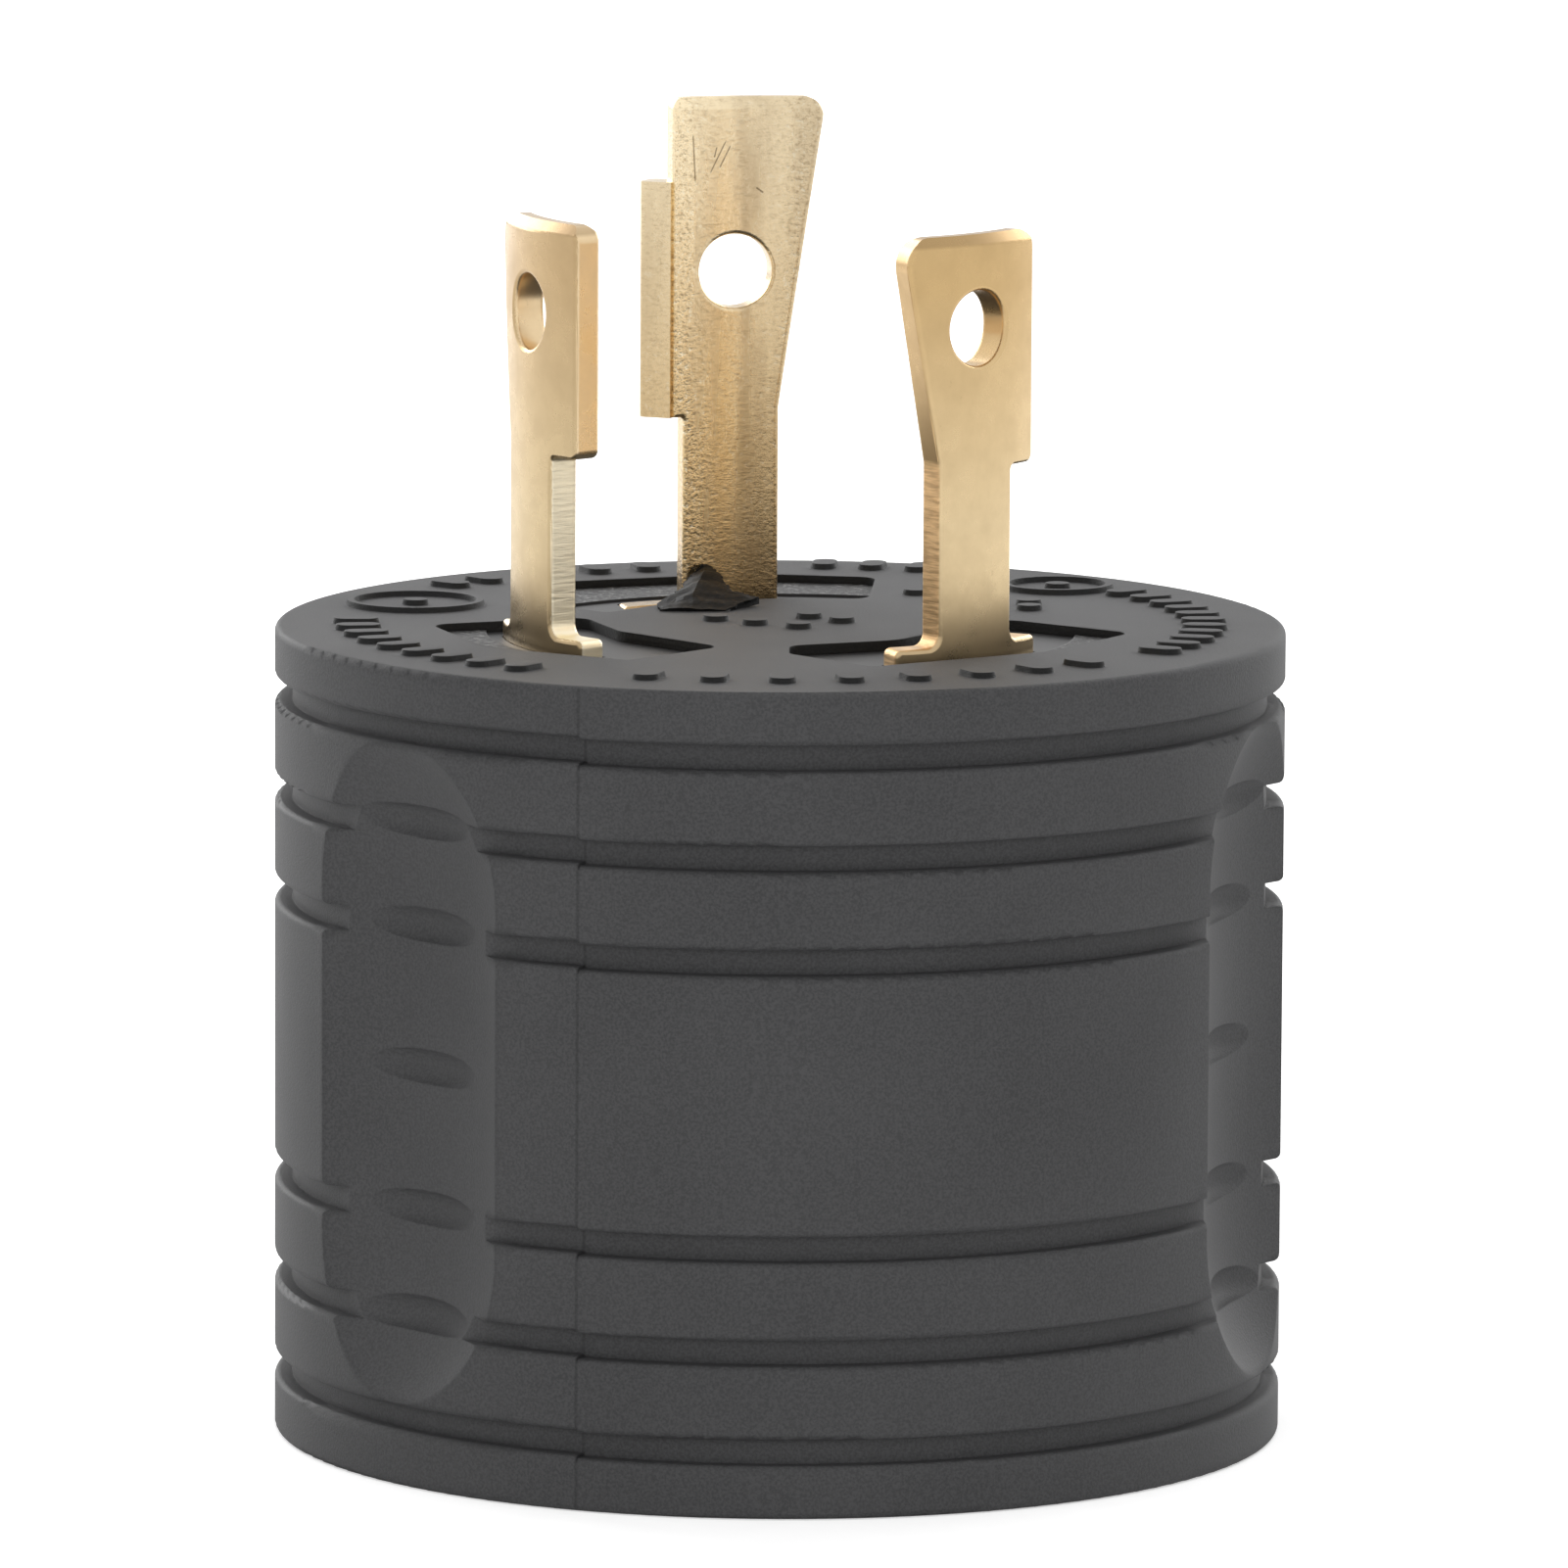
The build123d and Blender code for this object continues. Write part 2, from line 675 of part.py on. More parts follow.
def ground_contact():
    """A rolled brass sleeve for the ground pin, with a tail up to a plate on the pocket's floor."""
    low = socket_face_thickness + contact_lift
    wall = Circle(sleeve_radius) - Circle(sleeve_bore / 2)
    sleeve = Pos(0, 0, low) * extrude(wall, sleeve_top - low)
    slit = Box(sleeve_slit, 2 * sleeve_radius, 2 * sleeve_top)
    sleeve -= Pos(0, -sleeve_radius, sleeve_top) * slit
    tail_low = contact_grip_high + band_height
    on_sleeve = (Align.CENTER, Align.MAX, Align.MIN)
    tail = Box(sleeve_tail_width, sleeve_wall, tab_bottom - tail_low, align=on_sleeve)
    contact = Pos(0, ground_hole_y, 0) * (sleeve + Pos(0, sleeve_radius, tail_low) * tail)
    plate_back = ground_hole_y + sleeve_radius
    plate = Rectangle(contact_plate_length, ground_plate_width)
    contact += Pos(0, plate_back - ground_plate_width / 2, pocket_floor) * extrude(plate, contact_thickness)
    return contact - rivet_hole(ground_blade_angle)


def contact_band(side):
    """The split steel band round a flat contact's jaws."""
    inner_thickness = contact_gap + 2 * contact_thickness
    outer_thickness = inner_thickness + 2 * band_thickness
    outer_width = contact_width + 2 * band_thickness
    band = Rectangle(outer_thickness, outer_width) - Rectangle(inner_thickness, contact_width)
    band -= Pos(0, outer_width / 2) * Rectangle(band_slit, 4 * band_thickness)
    middle = (contact_grip_low + contact_grip_high) / 2
    return slot_place(side) * Pos(0, 0, middle - band_height / 2) * extrude(band, band_height)


def ground_contact_ring():
    """The split steel ring round the ground sleeve."""
    wall = Circle(sleeve_radius + band_thickness) - Circle(sleeve_radius)
    wall -= Pos(0, -sleeve_radius) * Rectangle(band_slit, 4 * band_thickness)
    middle = (contact_grip_low + contact_grip_high) / 2
    return Pos(0, ground_hole_y, middle - band_height / 2) * extrude(wall, band_height)


def rivet(blade_angle):
    """One rivet through a blade's tab and a contact's plate, with a head at each end."""
    head = extrude(Circle(rivet_head_diameter / 2), rivet_head_height)
    shank = extrude(Circle(rivet_diameter / 2), tab_top - pocket_floor)
    low_head = Pos(0, 0, pocket_floor - rivet_head_height) * head
    high_head = Pos(0, 0, tab_top) * head
    return rivet_place(blade_angle) * (low_head + Pos(0, 0, pocket_floor) * shank + high_head)


def grip_body(leaned_on):
    """The moulded grip: scoops and dimples in its side, windows, raised marks and torn flash on its face."""
    body = grooved_body()
    scoop = finger_scoop()
    for angle in scoop_angles:
        body -= Rot(0, 0, angle) * scoop
    body -= core_envelope() + carrier_envelope()
    for window in face_windows():
        body -= Pos(0, 0, carrier_front - tool_margin) * extrude(window, face_skin + 2 * tool_margin)
    body += raised_marks()
    return body + (torn_flash() - leaned_on)


def write_parts():
    """Build each piece and write it to its own file."""
    line = Rot(0, 0, line_blade_angle) * power_blade(line_blade_lift)
    neutral = Rot(0, 0, neutral_blade_angle) * power_blade(0)
    ground = Rot(0, 0, ground_blade_angle) * ground_blade()
    pieces = {
        "grip_body": grip_body(ground),
        "blade_carrier": blade_carrier(),
        "line_blade": line,
        "neutral_blade": neutral,
        "ground_blade": ground,
        "socket_core": socket_core(),
        "line_contact": flat_contact(-1, line_blade_angle),
        "neutral_contact": flat_contact(1, neutral_blade_angle),
        "ground_contact": ground_contact(),
        "line_contact_spring": contact_band(-1),
        "neutral_contact_spring": contact_band(1),
        "ground_contact_ring": ground_contact_ring(),
        "line_rivet": rivet(line_blade_angle),
        "neutral_rivet": rivet(neutral_blade_angle),
        "ground_rivet": rivet(ground_blade_angle),
    }
    for letter, angle in zip("abc", screw_angles):
        pieces["core_screw_" + letter] = core_screw(angle)
    os.makedirs("parts", exist_ok=True)
    for name, piece in pieces.items():
        export_step(piece, "parts/" + name + ".step")


write_parts()
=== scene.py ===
# %% [markdown]
# # A trailer power adapter, dressed for the studio
# The object is a round puck that turns a locking generator outlet into a trailer outlet. A dark,
# rubbery grip is moulded round a hard core, and three curved brass blades stand out of its top.
# The solids come in from the packed frame at their real size, so this lesson adds only finishes,
# one crumpled sheet, the floor, the lamps and the camera. Everything is in metres, and the origin
# is under the middle of the puck.

# %% Load the frame
from math import cos, radians, sin, sqrt
from random import Random

import bmesh
import bpy
from mathutils import Matrix, Vector, noise


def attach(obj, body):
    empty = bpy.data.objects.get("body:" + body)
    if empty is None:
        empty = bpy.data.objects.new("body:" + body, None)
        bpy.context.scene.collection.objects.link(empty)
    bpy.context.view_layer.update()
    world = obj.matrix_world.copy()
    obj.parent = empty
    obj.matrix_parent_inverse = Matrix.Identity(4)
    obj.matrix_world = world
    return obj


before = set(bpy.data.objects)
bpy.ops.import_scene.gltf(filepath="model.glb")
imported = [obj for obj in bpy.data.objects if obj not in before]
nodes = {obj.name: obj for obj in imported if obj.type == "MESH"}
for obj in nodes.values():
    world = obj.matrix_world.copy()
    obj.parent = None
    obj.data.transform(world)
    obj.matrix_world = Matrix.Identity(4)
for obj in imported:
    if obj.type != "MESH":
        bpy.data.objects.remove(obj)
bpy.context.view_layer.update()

# %% [markdown]
# ## A short way to write shader graphs
# A finish is a graph of small nodes. Written out in full, each node takes several lines, so this
# small class keeps one material's graph and has a short method for each kind of step. A value
# that is the same all over the surface is set straight on the shader's socket, and only what
# varies is linked.

# %% A finish and its graph
MM = 0.001
# The mix node has sockets for every type of data; these are the ones for colours.
MIX_SHARE, MIX_FIRST, MIX_SECOND, MIX_RESULT = 0, 6, 7, 2


class Finish:
    """One material's node graph, with short methods to add to it."""

    def __init__(self, name):
        self.material = bpy.data.materials.new(name)
        self.material.use_nodes = True
        self.tree = self.material.node_tree
        self.shader = self.tree.nodes["Principled BSDF"]
        self.places = self.add("ShaderNodeTexCoord").outputs["Object"]

    def add(self, kind, settings=None, **inputs):
        """Add a node; an input is a number, a colour or another node's output."""
        node = self.tree.nodes.new(kind)
        for key, value in (settings or {}).items():
            setattr(node, key, value)
        for key, value in inputs.items():
            self.put(node.inputs[key.replace("_", " ")], value)
        return node

    def put(self, socket, value):
        """Link an output to a socket, or set the socket's own value."""
        if isinstance(value, bpy.types.NodeSocket):
            self.tree.links.new(value, socket)
        else:
            socket.default_value = value

    def math(self, operation, first, second=0.0, third=0.0):
        """One arithmetic step on numbers or outputs."""
        node = self.add("ShaderNodeMath", {"operation": operation})
        for socket, value in zip(node.inputs, (first, second, third)):
            self.put(socket, value)
        return node.outputs[0]

    def scaled(self, x, y, z):
        """The object's coordinates times a factor on each axis; a small one makes marks long."""
        node = self.add("ShaderNodeVectorMath", {"operation": "MULTIPLY"})
        self.put(node.inputs[0], self.places)
        self.put(node.inputs[1], (x, y, z))
        return node.outputs[0]

    def noise(self, size, detail=2.0, roughness=0.5, vector=None):
        """Soft random mottling whose blobs are about this many metres across."""
        node = self.add("ShaderNodeTexNoise", Scale=1.0 / size, Detail=detail, Roughness=roughness)
        self.put(node.inputs["Vector"], vector or self.places)
        return node.outputs["Fac"]

    def ramp(self, value, low, high, start=0.0, end=1.0):
        """Map a value from low-high to start-end, held at both ends."""
        node = self.add("ShaderNodeMapRange", {"clamp": True}, Value=value,
                        From_Min=low, From_Max=high, To_Min=start, To_Max=end)
        return node.outputs["Result"]

    def mix(self, share, first, second):
        """Blend two colours by a share from 0 to 1."""
        node = self.add("ShaderNodeMix", {"data_type": "RGBA"})
        self.put(node.inputs[MIX_SHARE], share)
        self.put(node.inputs[MIX_FIRST], first)
        self.put(node.inputs[MIX_SECOND], second)
        return node.outputs[MIX_RESULT]

    def split(self):
        """The three object coordinates as separate numbers."""
        return self.add("ShaderNodeSeparateXYZ", Vector=self.places).outputs

    def bump(self, height, depth, before=None):
        """Tilt the surface as if it had this relief, whose full depth is in metres."""
        node = self.add("ShaderNodeBump", Height=height, Distance=depth)
        if before is not None:
            self.put(node.inputs["Normal"], before)
        return node.outputs["Normal"]

    def set(self, **values):
        """Set the shader's own sockets, by name."""
        for key, value in values.items():
            self.put(self.shader.inputs[key.replace("_", " ")], value)
        return self


print("A finish can:", ", ".join(name for name in vars(Finish) if not name.startswith("_")))

# %% [markdown]
# ## Colours, and putting a finish on
# Colours are easiest to read off a photograph as screen values, but shaders count in linear light,
# so a small function turns one into the other. Another puts a finish on the solids that it
# belongs to.

# %% Colour and dressing
# Nearly all of a noise's values lie between these two.
NOISE_RANGE = (0.3, 0.7)


def srgb(red, green, blue):
    """A colour given as screen values from 0 to 255, as the linear numbers that shaders use."""
    linear = []
    for value in (red, green, blue):
        share = value / 255
        linear.append(share / 12.92 if share <= 0.04045 else ((share + 0.055) / 1.055) ** 2.4)
    return (*linear, 1.0)


def dress(finish, slot, *names):
    """Give CAD pieces this finish; the slot argument is not used."""
    for name in names:
        piece = nodes[name]
        piece.data.materials.clear()
        piece.data.materials.append(finish.material)
    print("Dressed", ", ".join(names), "with", finish.material.name)


print("Screen grey 128 is", round(srgb(128, 128, 128)[0], 3), "in linear light")

# %% [markdown]
# ## Finding places on the grip
# A finish can change from place to place without any painting, because the graph knows where each
# point lies and which way the surface faces. Each helper here gives 1 in one place and 0
# elsewhere. The two halves of the mould met in a plane through the axis, which leaves a hairline
# down each side. The finger scoops are three, evenly spaced, and all that counts is how far a
# point lies from a scoop's rim. The raised marks and the windows have steep little walls near the
# face, and the torn flash lies in a box of its own.

# %% Directions and the mould's hairline
PARTING_ANGLE = radians(67.3)
PARTING_WIDTH = 0.12 * MM
# A wall that faces up less than the first counts in full, and past the second not at all.
SIDE_WALL = (0.7, 0.9)


def distance_from_axis(finish):
    """Distance from the puck's axis, for every point of the surface."""
    x, y, _ = finish.split()
    return finish.math("SQRT", finish.math("MULTIPLY_ADD", x, x, finish.math("MULTIPLY", y, y)))


def upward(finish):
    """How far the surface faces up, from -1 to 1."""
    normal = finish.add("ShaderNodeNewGeometry").outputs["True Normal"]
    return finish.add("ShaderNodeSeparateXYZ", Vector=normal).outputs["Z"]


def parting_line(finish):
    """1 on the two hairlines where the halves of the mould met, and 0 elsewhere."""
    x, y, _ = finish.split()
    across = finish.math("MULTIPLY", x, -sin(PARTING_ANGLE))
    across = finish.math("MULTIPLY_ADD", y, cos(PARTING_ANGLE), across)
    off_plane = finish.math("ABSOLUTE", across)
    near_plane = finish.ramp(off_plane, PARTING_WIDTH / 2, PARTING_WIDTH, 1.0, 0.0)
    on_side = finish.ramp(finish.math("ABSOLUTE", upward(finish)), *SIDE_WALL, 1.0, 0.0)
    return finish.math("MULTIPLY", near_plane, on_side)


print("The mould's hairline is", round(PARTING_WIDTH / MM, 2), "mm wide")

# %% The scoops' rims
SCOOP_ANGLE = radians(102)
SCOOP_SPACING = radians(120)
SCOOP_HALF_ANGLE = radians(15)
SCOOP_MIDDLE = 22.8 * MM
RIM_BAND = (radians(2.0), radians(3.5))
SCOOP_END = (14.5 * MM, 16.0 * MM)
END_TAPER = radians(3)


def near_scoop_rim(finish):
    """1 near the rim of each finger scoop, and 0 elsewhere."""
    x, y, z = finish.split()
    turn = finish.math("SUBTRACT", finish.math("ARCTAN2", y, x), SCOOP_ANGLE)
    turn = finish.math("WRAP", turn, SCOOP_SPACING / 2, -SCOOP_SPACING / 2)
    off_middle = finish.math("ABSOLUTE", turn)
    off_side = finish.math("ABSOLUTE", finish.math("SUBTRACT", off_middle, SCOOP_HALF_ANGLE))
    beside = finish.ramp(off_side, *RIM_BAND, 1.0, 0.0)
    off_height = finish.math("ABSOLUTE", finish.math("SUBTRACT", z, SCOOP_MIDDLE))
    at_end = finish.ramp(off_height, *SCOOP_END)
    in_width = finish.ramp(off_middle, SCOOP_HALF_ANGLE, SCOOP_HALF_ANGLE + END_TAPER, 1.0, 0.0)
    return finish.math("MAXIMUM", beside, finish.math("MULTIPLY", at_end, in_width))


print("Scoop rims end", round(SCOOP_END[1] / MM, 1), "mm above and below their middle")

# %% Walls near the face, and the torn flash
FACE_HEIGHT = 45 * MM
SKIN_DEPTH = 0.6 * MM
MARKS_RADIUS = 26.9 * MM
HAIR = 0.02 * MM
# Read as SIDE_WALL is.
STEEP_WALL = (0.5, 0.8)
FLAP_LOW = (-7.2 * MM, 4.4 * MM, FACE_HEIGHT + 0.03 * MM)
FLAP_HIGH = (-1.0 * MM, 13.7 * MM, FACE_HEIGHT + 2.5 * MM)


def steep_near_face(finish):
    """1 on the walls of the raised marks and of the windows, and 0 elsewhere."""
    steep = finish.ramp(upward(finish), *STEEP_WALL, 1.0, 0.0)
    high = finish.math("GREATER_THAN", finish.split()["Z"], FACE_HEIGHT - SKIN_DEPTH - HAIR)
    inside = finish.math("LESS_THAN", distance_from_axis(finish), MARKS_RADIUS)
    return finish.math("MULTIPLY", steep, finish.math("MULTIPLY", high, inside))


def in_flap(finish):
    """1 inside the box that holds the torn flash, and 0 elsewhere."""
    inside = 1.0
    for part, low, high in zip(finish.split(), FLAP_LOW, FLAP_HIGH):
        above = finish.math("GREATER_THAN", part, low)
        below = finish.math("LESS_THAN", part, high)
        inside = finish.math("MULTIPLY", inside, finish.math("MULTIPLY", above, below))
    return inside


flap_size = [round((high - low) / MM, 1) for low, high in zip(FLAP_LOW, FLAP_HIGH)]
print("The torn flash lies in a box of", flap_size, "mm")

# %% [markdown]
# ## The grip's skin
# The grip is a soft vinyl moulded in a spark-eroded tool, which leaves a very fine, even grain and
# almost no gloss. A flat grey would look like paper, so layers are mixed: the fine grain, as bump
# and as tiny changes of tone, and a slow drift of the grey and of the gloss, as in any dark
# moulding. Soft vinyl has no sharp edges, so a bevel node rounds the shading of each edge by a
# fraction of a millimetre, and more at the scoops' rims. The steep little walls near the face
# catch no light, so the graph paints shade on them, and it paints the flap under the torn flash
# almost black as shade too.

# %% Grip finish
GRIP_GREY = srgb(55, 55, 56)
GRIP_GREY_PALE = srgb(75, 75, 76)
GRIP_SHADE = srgb(14, 14, 14)
GRAIN_SIZE = 0.15 * MM
GRAIN_DEPTH = 0.035 * MM
GRAIN_RANGE = (0.38, 0.62)
GRAIN_SHARE = 0.75
DRIFT_SIZE = 14 * MM
DRIFT_SHARE = 0.25
DRIFT_GLOSS = -0.15
GRIP_ROUGHNESS = (0.58, 0.70)
HAIRLINE_SHARE = 0.32
HAIRLINE_DEPTH = 0.015 * MM
SOFT_EDGE = 0.15 * MM
SCOOP_SOFT_EDGE = 0.8 * MM
SOFT_SAMPLES = 2


def grip_finish():
    """Fine-grained, almost matt vinyl with softened edges."""
    finish = Finish("grip_vinyl")
    grain = finish.noise(GRAIN_SIZE, detail=2.0, roughness=0.6)
    slow = finish.ramp(finish.noise(DRIFT_SIZE, detail=2.0), *NOISE_RANGE, 0.0, DRIFT_SHARE)
    shade = finish.math("MULTIPLY_ADD", finish.ramp(grain, *GRAIN_RANGE), GRAIN_SHARE, slow)
    colour = finish.mix(shade, GRIP_GREY, GRIP_GREY_PALE)
    line = parting_line(finish)
    colour = finish.mix(finish.math("MULTIPLY", line, HAIRLINE_SHARE), colour, GRIP_SHADE)
    # Painted shade: the steep walls near the face and the flap under the torn flash are darkened
    # to GRIP_SHADE.
    painted_shade = finish.math("MAXIMUM", steep_near_face(finish), in_flap(finish))
    colour = finish.mix(painted_shade, colour, GRIP_SHADE)
    rough = finish.ramp(grain, *NOISE_RANGE, *GRIP_ROUGHNESS)
    rough = finish.math("MULTIPLY_ADD", slow, DRIFT_GLOSS, rough)
    roundness = finish.ramp(near_scoop_rim(finish), 0.0, 1.0, SOFT_EDGE, SCOOP_SOFT_EDGE)
    soft = finish.add("ShaderNodeBevel", {"samples": SOFT_SAMPLES}, Radius=roundness)
    relief = finish.bump(grain, GRAIN_DEPTH, soft.outputs["Normal"])
    relief = finish.bump(finish.math("MULTIPLY", line, -1.0), HAIRLINE_DEPTH, relief)
    return finish.set(
        Base_Color=colour, Roughness=rough, Normal=relief, Specular_IOR_Level=0.35)


dress(grip_finish(), "grip", "grip_body")

# %% [markdown]
# ## The hard insert in the windows
# Through the windows in the face one sees the glass-filled insert that carries the blades. Inside
# the ring of blades it was moulded against polished steel and is nearly smooth. Outside it the
# tool was coarsely eroded, and small bright grains there are painted highlights. One graph makes
# both, and the distance from the axis picks which.

# %% Carrier finish
CARRIER_TONE = srgb(46, 46, 47)
CARRIER_PAINTED_GLINT = srgb(122, 122, 122)
CARRIER_PAINTED_GLINT_RANGE = (0.50, 0.66)
LAND_RADIUS = 16.3 * MM
LAND_EDGE = 0.1 * MM
ERODED_SIZE = 0.30 * MM
ERODED_DEPTH = 0.14 * MM
POLISHED_DEPTH = 0.010 * MM
CARRIER_ROUGHNESS = (0.45, 0.55)


def carrier_finish():
    """Glass-filled plastic: smooth inside the ring of blades, coarse with painted glints outside
    it.
    """
    finish = Finish("carrier_glass_filled")
    coarse = finish.noise(ERODED_SIZE, detail=4.0, roughness=0.65)
    fine = finish.noise(GRAIN_SIZE, detail=2.0)
    outside = finish.ramp(distance_from_axis(finish), LAND_RADIUS, LAND_RADIUS + LAND_EDGE)
    # Painted highlight: the peaks of the coarse grain outside the ring are painted a paler grey.
    painted_sparkle = finish.math("MULTIPLY", finish.ramp(coarse, *CARRIER_PAINTED_GLINT_RANGE), outside)
    colour = finish.mix(painted_sparkle, CARRIER_TONE, CARRIER_PAINTED_GLINT)
    relief = finish.bump(finish.math("MULTIPLY", coarse, outside), ERODED_DEPTH)
    relief = finish.bump(fine, POLISHED_DEPTH, relief)
    rough = finish.ramp(outside, 0.0, 1.0, *CARRIER_ROUGHNESS)
    return finish.set(
        Base_Color=colour, Roughness=rough, Normal=relief, Specular_IOR_Level=0.4)


dress(carrier_finish(), "carrier", "blade_carrier")

# %% [markdown]
# ## The socket's core
# The receptacle core is hard black nylon with a satin face. It is seen only from below, round the
# two angled slots, so it gets a smooth skin with faint flow marks that are long up its sides.

# %% Core finish
CORE_TONE = srgb(40, 40, 42)
CORE_FLOW_TONE = srgb(48, 48, 50)
FLOW_SIZE = 5 * MM
FLOW_STRETCH = (1.0, 1.0, 0.3)
FLOW_RANGE = (0.4, 0.6)
CORE_ROUGHNESS = (0.34, 0.46)
CORE_GRAIN_DEPTH = 0.006 * MM


def core_finish():
    """Satin black nylon with faint flow marks."""
    finish = Finish("core_nylon")
    flow = finish.noise(FLOW_SIZE, detail=3.0, vector=finish.scaled(*FLOW_STRETCH))
    fine = finish.noise(GRAIN_SIZE, detail=2.0)
    colour = finish.mix(finish.ramp(flow, *FLOW_RANGE), CORE_TONE, CORE_FLOW_TONE)
    rough = finish.ramp(flow, *NOISE_RANGE, *CORE_ROUGHNESS)
    relief = finish.bump(fine, CORE_GRAIN_DEPTH)
    return finish.set(Base_Color=colour, Roughness=rough, Normal=relief)


dress(core_finish(), "core", "socket_core")

# %% [markdown]
# ## Strip brass
# The blades are blanked from rolled brass strip and then curled. Their faces keep the strip's
# satin grain, which runs along the blade. The graph tells a face from a cut edge by the surface's
# own direction, because a face points to or from the puck's axis. Under an even white light a
# metal shows its own colour, so the tones here are the ones in the photograph. Use has left
# brown smoke on the brass, most of it near the ends of a blade.

# %% Helpers for the blades
BRASS_SMOKE = srgb(120, 92, 60)
ROLLED_SIZE = 0.12 * MM
ROLLED_STRETCH = (1.0, 1.0, 0.08)
ROLLED_DEPTH = 0.004 * MM
FACE_TURN = (0.42, 0.56)


def rolled_grain(finish):
    """The fine lines that rolling leaves along the strip."""
    return finish.noise(ROLLED_SIZE, detail=3.0, vector=finish.scaled(*ROLLED_STRETCH))


def smoked(finish, colour, share):
    """Brown the brass by a share from 0 to 1."""
    return finish.mix(share, colour, BRASS_SMOKE)


def facing_axis(finish):
    """1 on the blade's curved faces and 0 on its cut edges."""
    x, y, _ = finish.split()
    out = finish.add("ShaderNodeCombineXYZ", X=x, Y=y)
    unit = finish.add("ShaderNodeVectorMath", {"operation": "NORMALIZE"})
    finish.put(unit.inputs[0], out.outputs[0])
    normal = finish.add("ShaderNodeNewGeometry").outputs["True Normal"]
    dot = finish.add("ShaderNodeVectorMath", {"operation": "DOT_PRODUCT"})
    finish.put(dot.inputs[0], unit.outputs[0])
    finish.put(dot.inputs[1], normal)
    return finish.ramp(finish.math("ABSOLUTE", dot.outputs["Value"]), *FACE_TURN)


def above_face(finish, low, high, start=0.0, end=1.0):
    """A share that goes from start to end between two heights over the puck's face, in mm."""
    height = finish.split()["Z"]
    return finish.ramp(height, FACE_HEIGHT + low * MM, FACE_HEIGHT + high * MM, start, end)


print("Rolled lines are about", round(1 / ROLLED_STRETCH[2], 1), "times as long as they are wide")

# %% [markdown]
# ## The two power blades
# These are the same stamping twice. The head's cut edges are burnished as smooth as the face,
# while the neck's edges show the press: fine torn lines across the thickness, browner where the
# tool rubbed. The chamfered tip is darker. The two blades meet the light at different angles in
# the photograph, so each has its own tones. Heights are in millimetres over the puck's face.

# %% Power blades
POWER_REACH = 22.85
TIP_CHAMFER = 0.55
TIP_BLUR = 0.1
NECK_TOP = FACE_HEIGHT + 10.3 * MM
NECK_BLUR = 0.3 * MM
HEAD_TONE_RISE = (7, 20)
FOOT_HEIGHTS = (1.0, 4.5)
FOOT_SMOKE = 0.35
TIP_SMOKE = 0.42
MOTTLE_SIZE = 2.2 * MM
MOTTLE_RANGE = (0.35, 0.70)
MOTTLE_SMOKE = 0.14
SPECK_SIZE = 0.5 * MM
SPECK_RANGE = (0.66, 0.76)
SPECK_SMOKE = 0.25
TORN_SIZE = 0.20 * MM
TORN_STRETCH = (0.12, 0.12, 1.0)
TORN_RANGE = (0.40, 0.62)
TORN_LEAST = 0.25
TORN_DEPTH = 0.020 * MM
TORN_ROUGHNESS = 0.10
POWER_ROUGHNESS = (0.24, 0.34)


def power_brass(name, neck_tone, head_tone, edge_tone, torn_tone, torn_share, lift):
    """Satin strip brass; the torn share says how rough and brown the neck's cut edges are."""
    finish = Finish(name)
    mottle = finish.noise(MOTTLE_SIZE, detail=5.0, roughness=0.6)
    specks = finish.ramp(finish.noise(SPECK_SIZE, detail=4.0, roughness=0.7), *SPECK_RANGE)
    cut_edge = finish.math("SUBTRACT", 1.0, facing_axis(finish))
    colour = finish.mix(above_face(finish, *HEAD_TONE_RISE), neck_tone, head_tone)
    colour = finish.mix(cut_edge, colour, edge_tone)
    colour = smoked(finish, colour, finish.ramp(mottle, *MOTTLE_RANGE, 0.0, MOTTLE_SMOKE))
    colour = smoked(finish, colour, finish.math("MULTIPLY", specks, SPECK_SMOKE))
    colour = smoked(finish, colour, above_face(finish, *FOOT_HEIGHTS, FOOT_SMOKE, 0.0))
    tip = POWER_REACH + lift - TIP_CHAMFER
    on_tip = above_face(finish, tip - TIP_BLUR, tip + TIP_BLUR, 0.0, TIP_SMOKE)
    colour = smoked(finish, colour, on_tip)
    # The torn lines run across the thickness: long across the blade, short along it.
    torn = finish.noise(TORN_SIZE, detail=2.0, vector=finish.scaled(*TORN_STRETCH))
    height = finish.split()["Z"]
    on_neck = finish.ramp(height, NECK_TOP - NECK_BLUR, NECK_TOP + NECK_BLUR, 1.0, 0.0)
    on_torn = finish.math("MULTIPLY", cut_edge, on_neck)
    line_dark = finish.ramp(torn, *TORN_RANGE, TORN_LEAST * torn_share, torn_share)
    colour = finish.mix(on_torn, colour, smoked(finish, torn_tone, line_dark))
    rough = finish.ramp(mottle, *NOISE_RANGE, *POWER_ROUGHNESS)
    rough = finish.math("MULTIPLY_ADD", on_torn, TORN_ROUGHNESS, rough)
    relief = finish.bump(rolled_grain(finish), ROLLED_DEPTH)
    relief = finish.bump(finish.math("MULTIPLY", torn, on_torn), TORN_DEPTH, relief)
    return finish.set(Base_Color=colour, Roughness=rough, Metallic=1.0, Normal=relief)


line_brass = power_brass(
    "line_blade_brass",
    neck_tone=srgb(208, 186, 146),
    head_tone=srgb(197, 169, 127),
    edge_tone=srgb(240, 214, 172),
    torn_tone=srgb(255, 244, 216),
    torn_share=0.06,
    lift=0.3,
)
neutral_brass = power_brass(
    "neutral_blade_brass",
    neck_tone=srgb(229, 205, 162),
    head_tone=srgb(210, 178, 127),
    edge_tone=srgb(215, 184, 136),
    torn_tone=srgb(248, 211, 160),
    torn_share=0.50,
    lift=0.0,
)
dress(line_brass, "blade_brass", "line_blade")
dress(neutral_brass, "blade_brass", "neutral_blade")

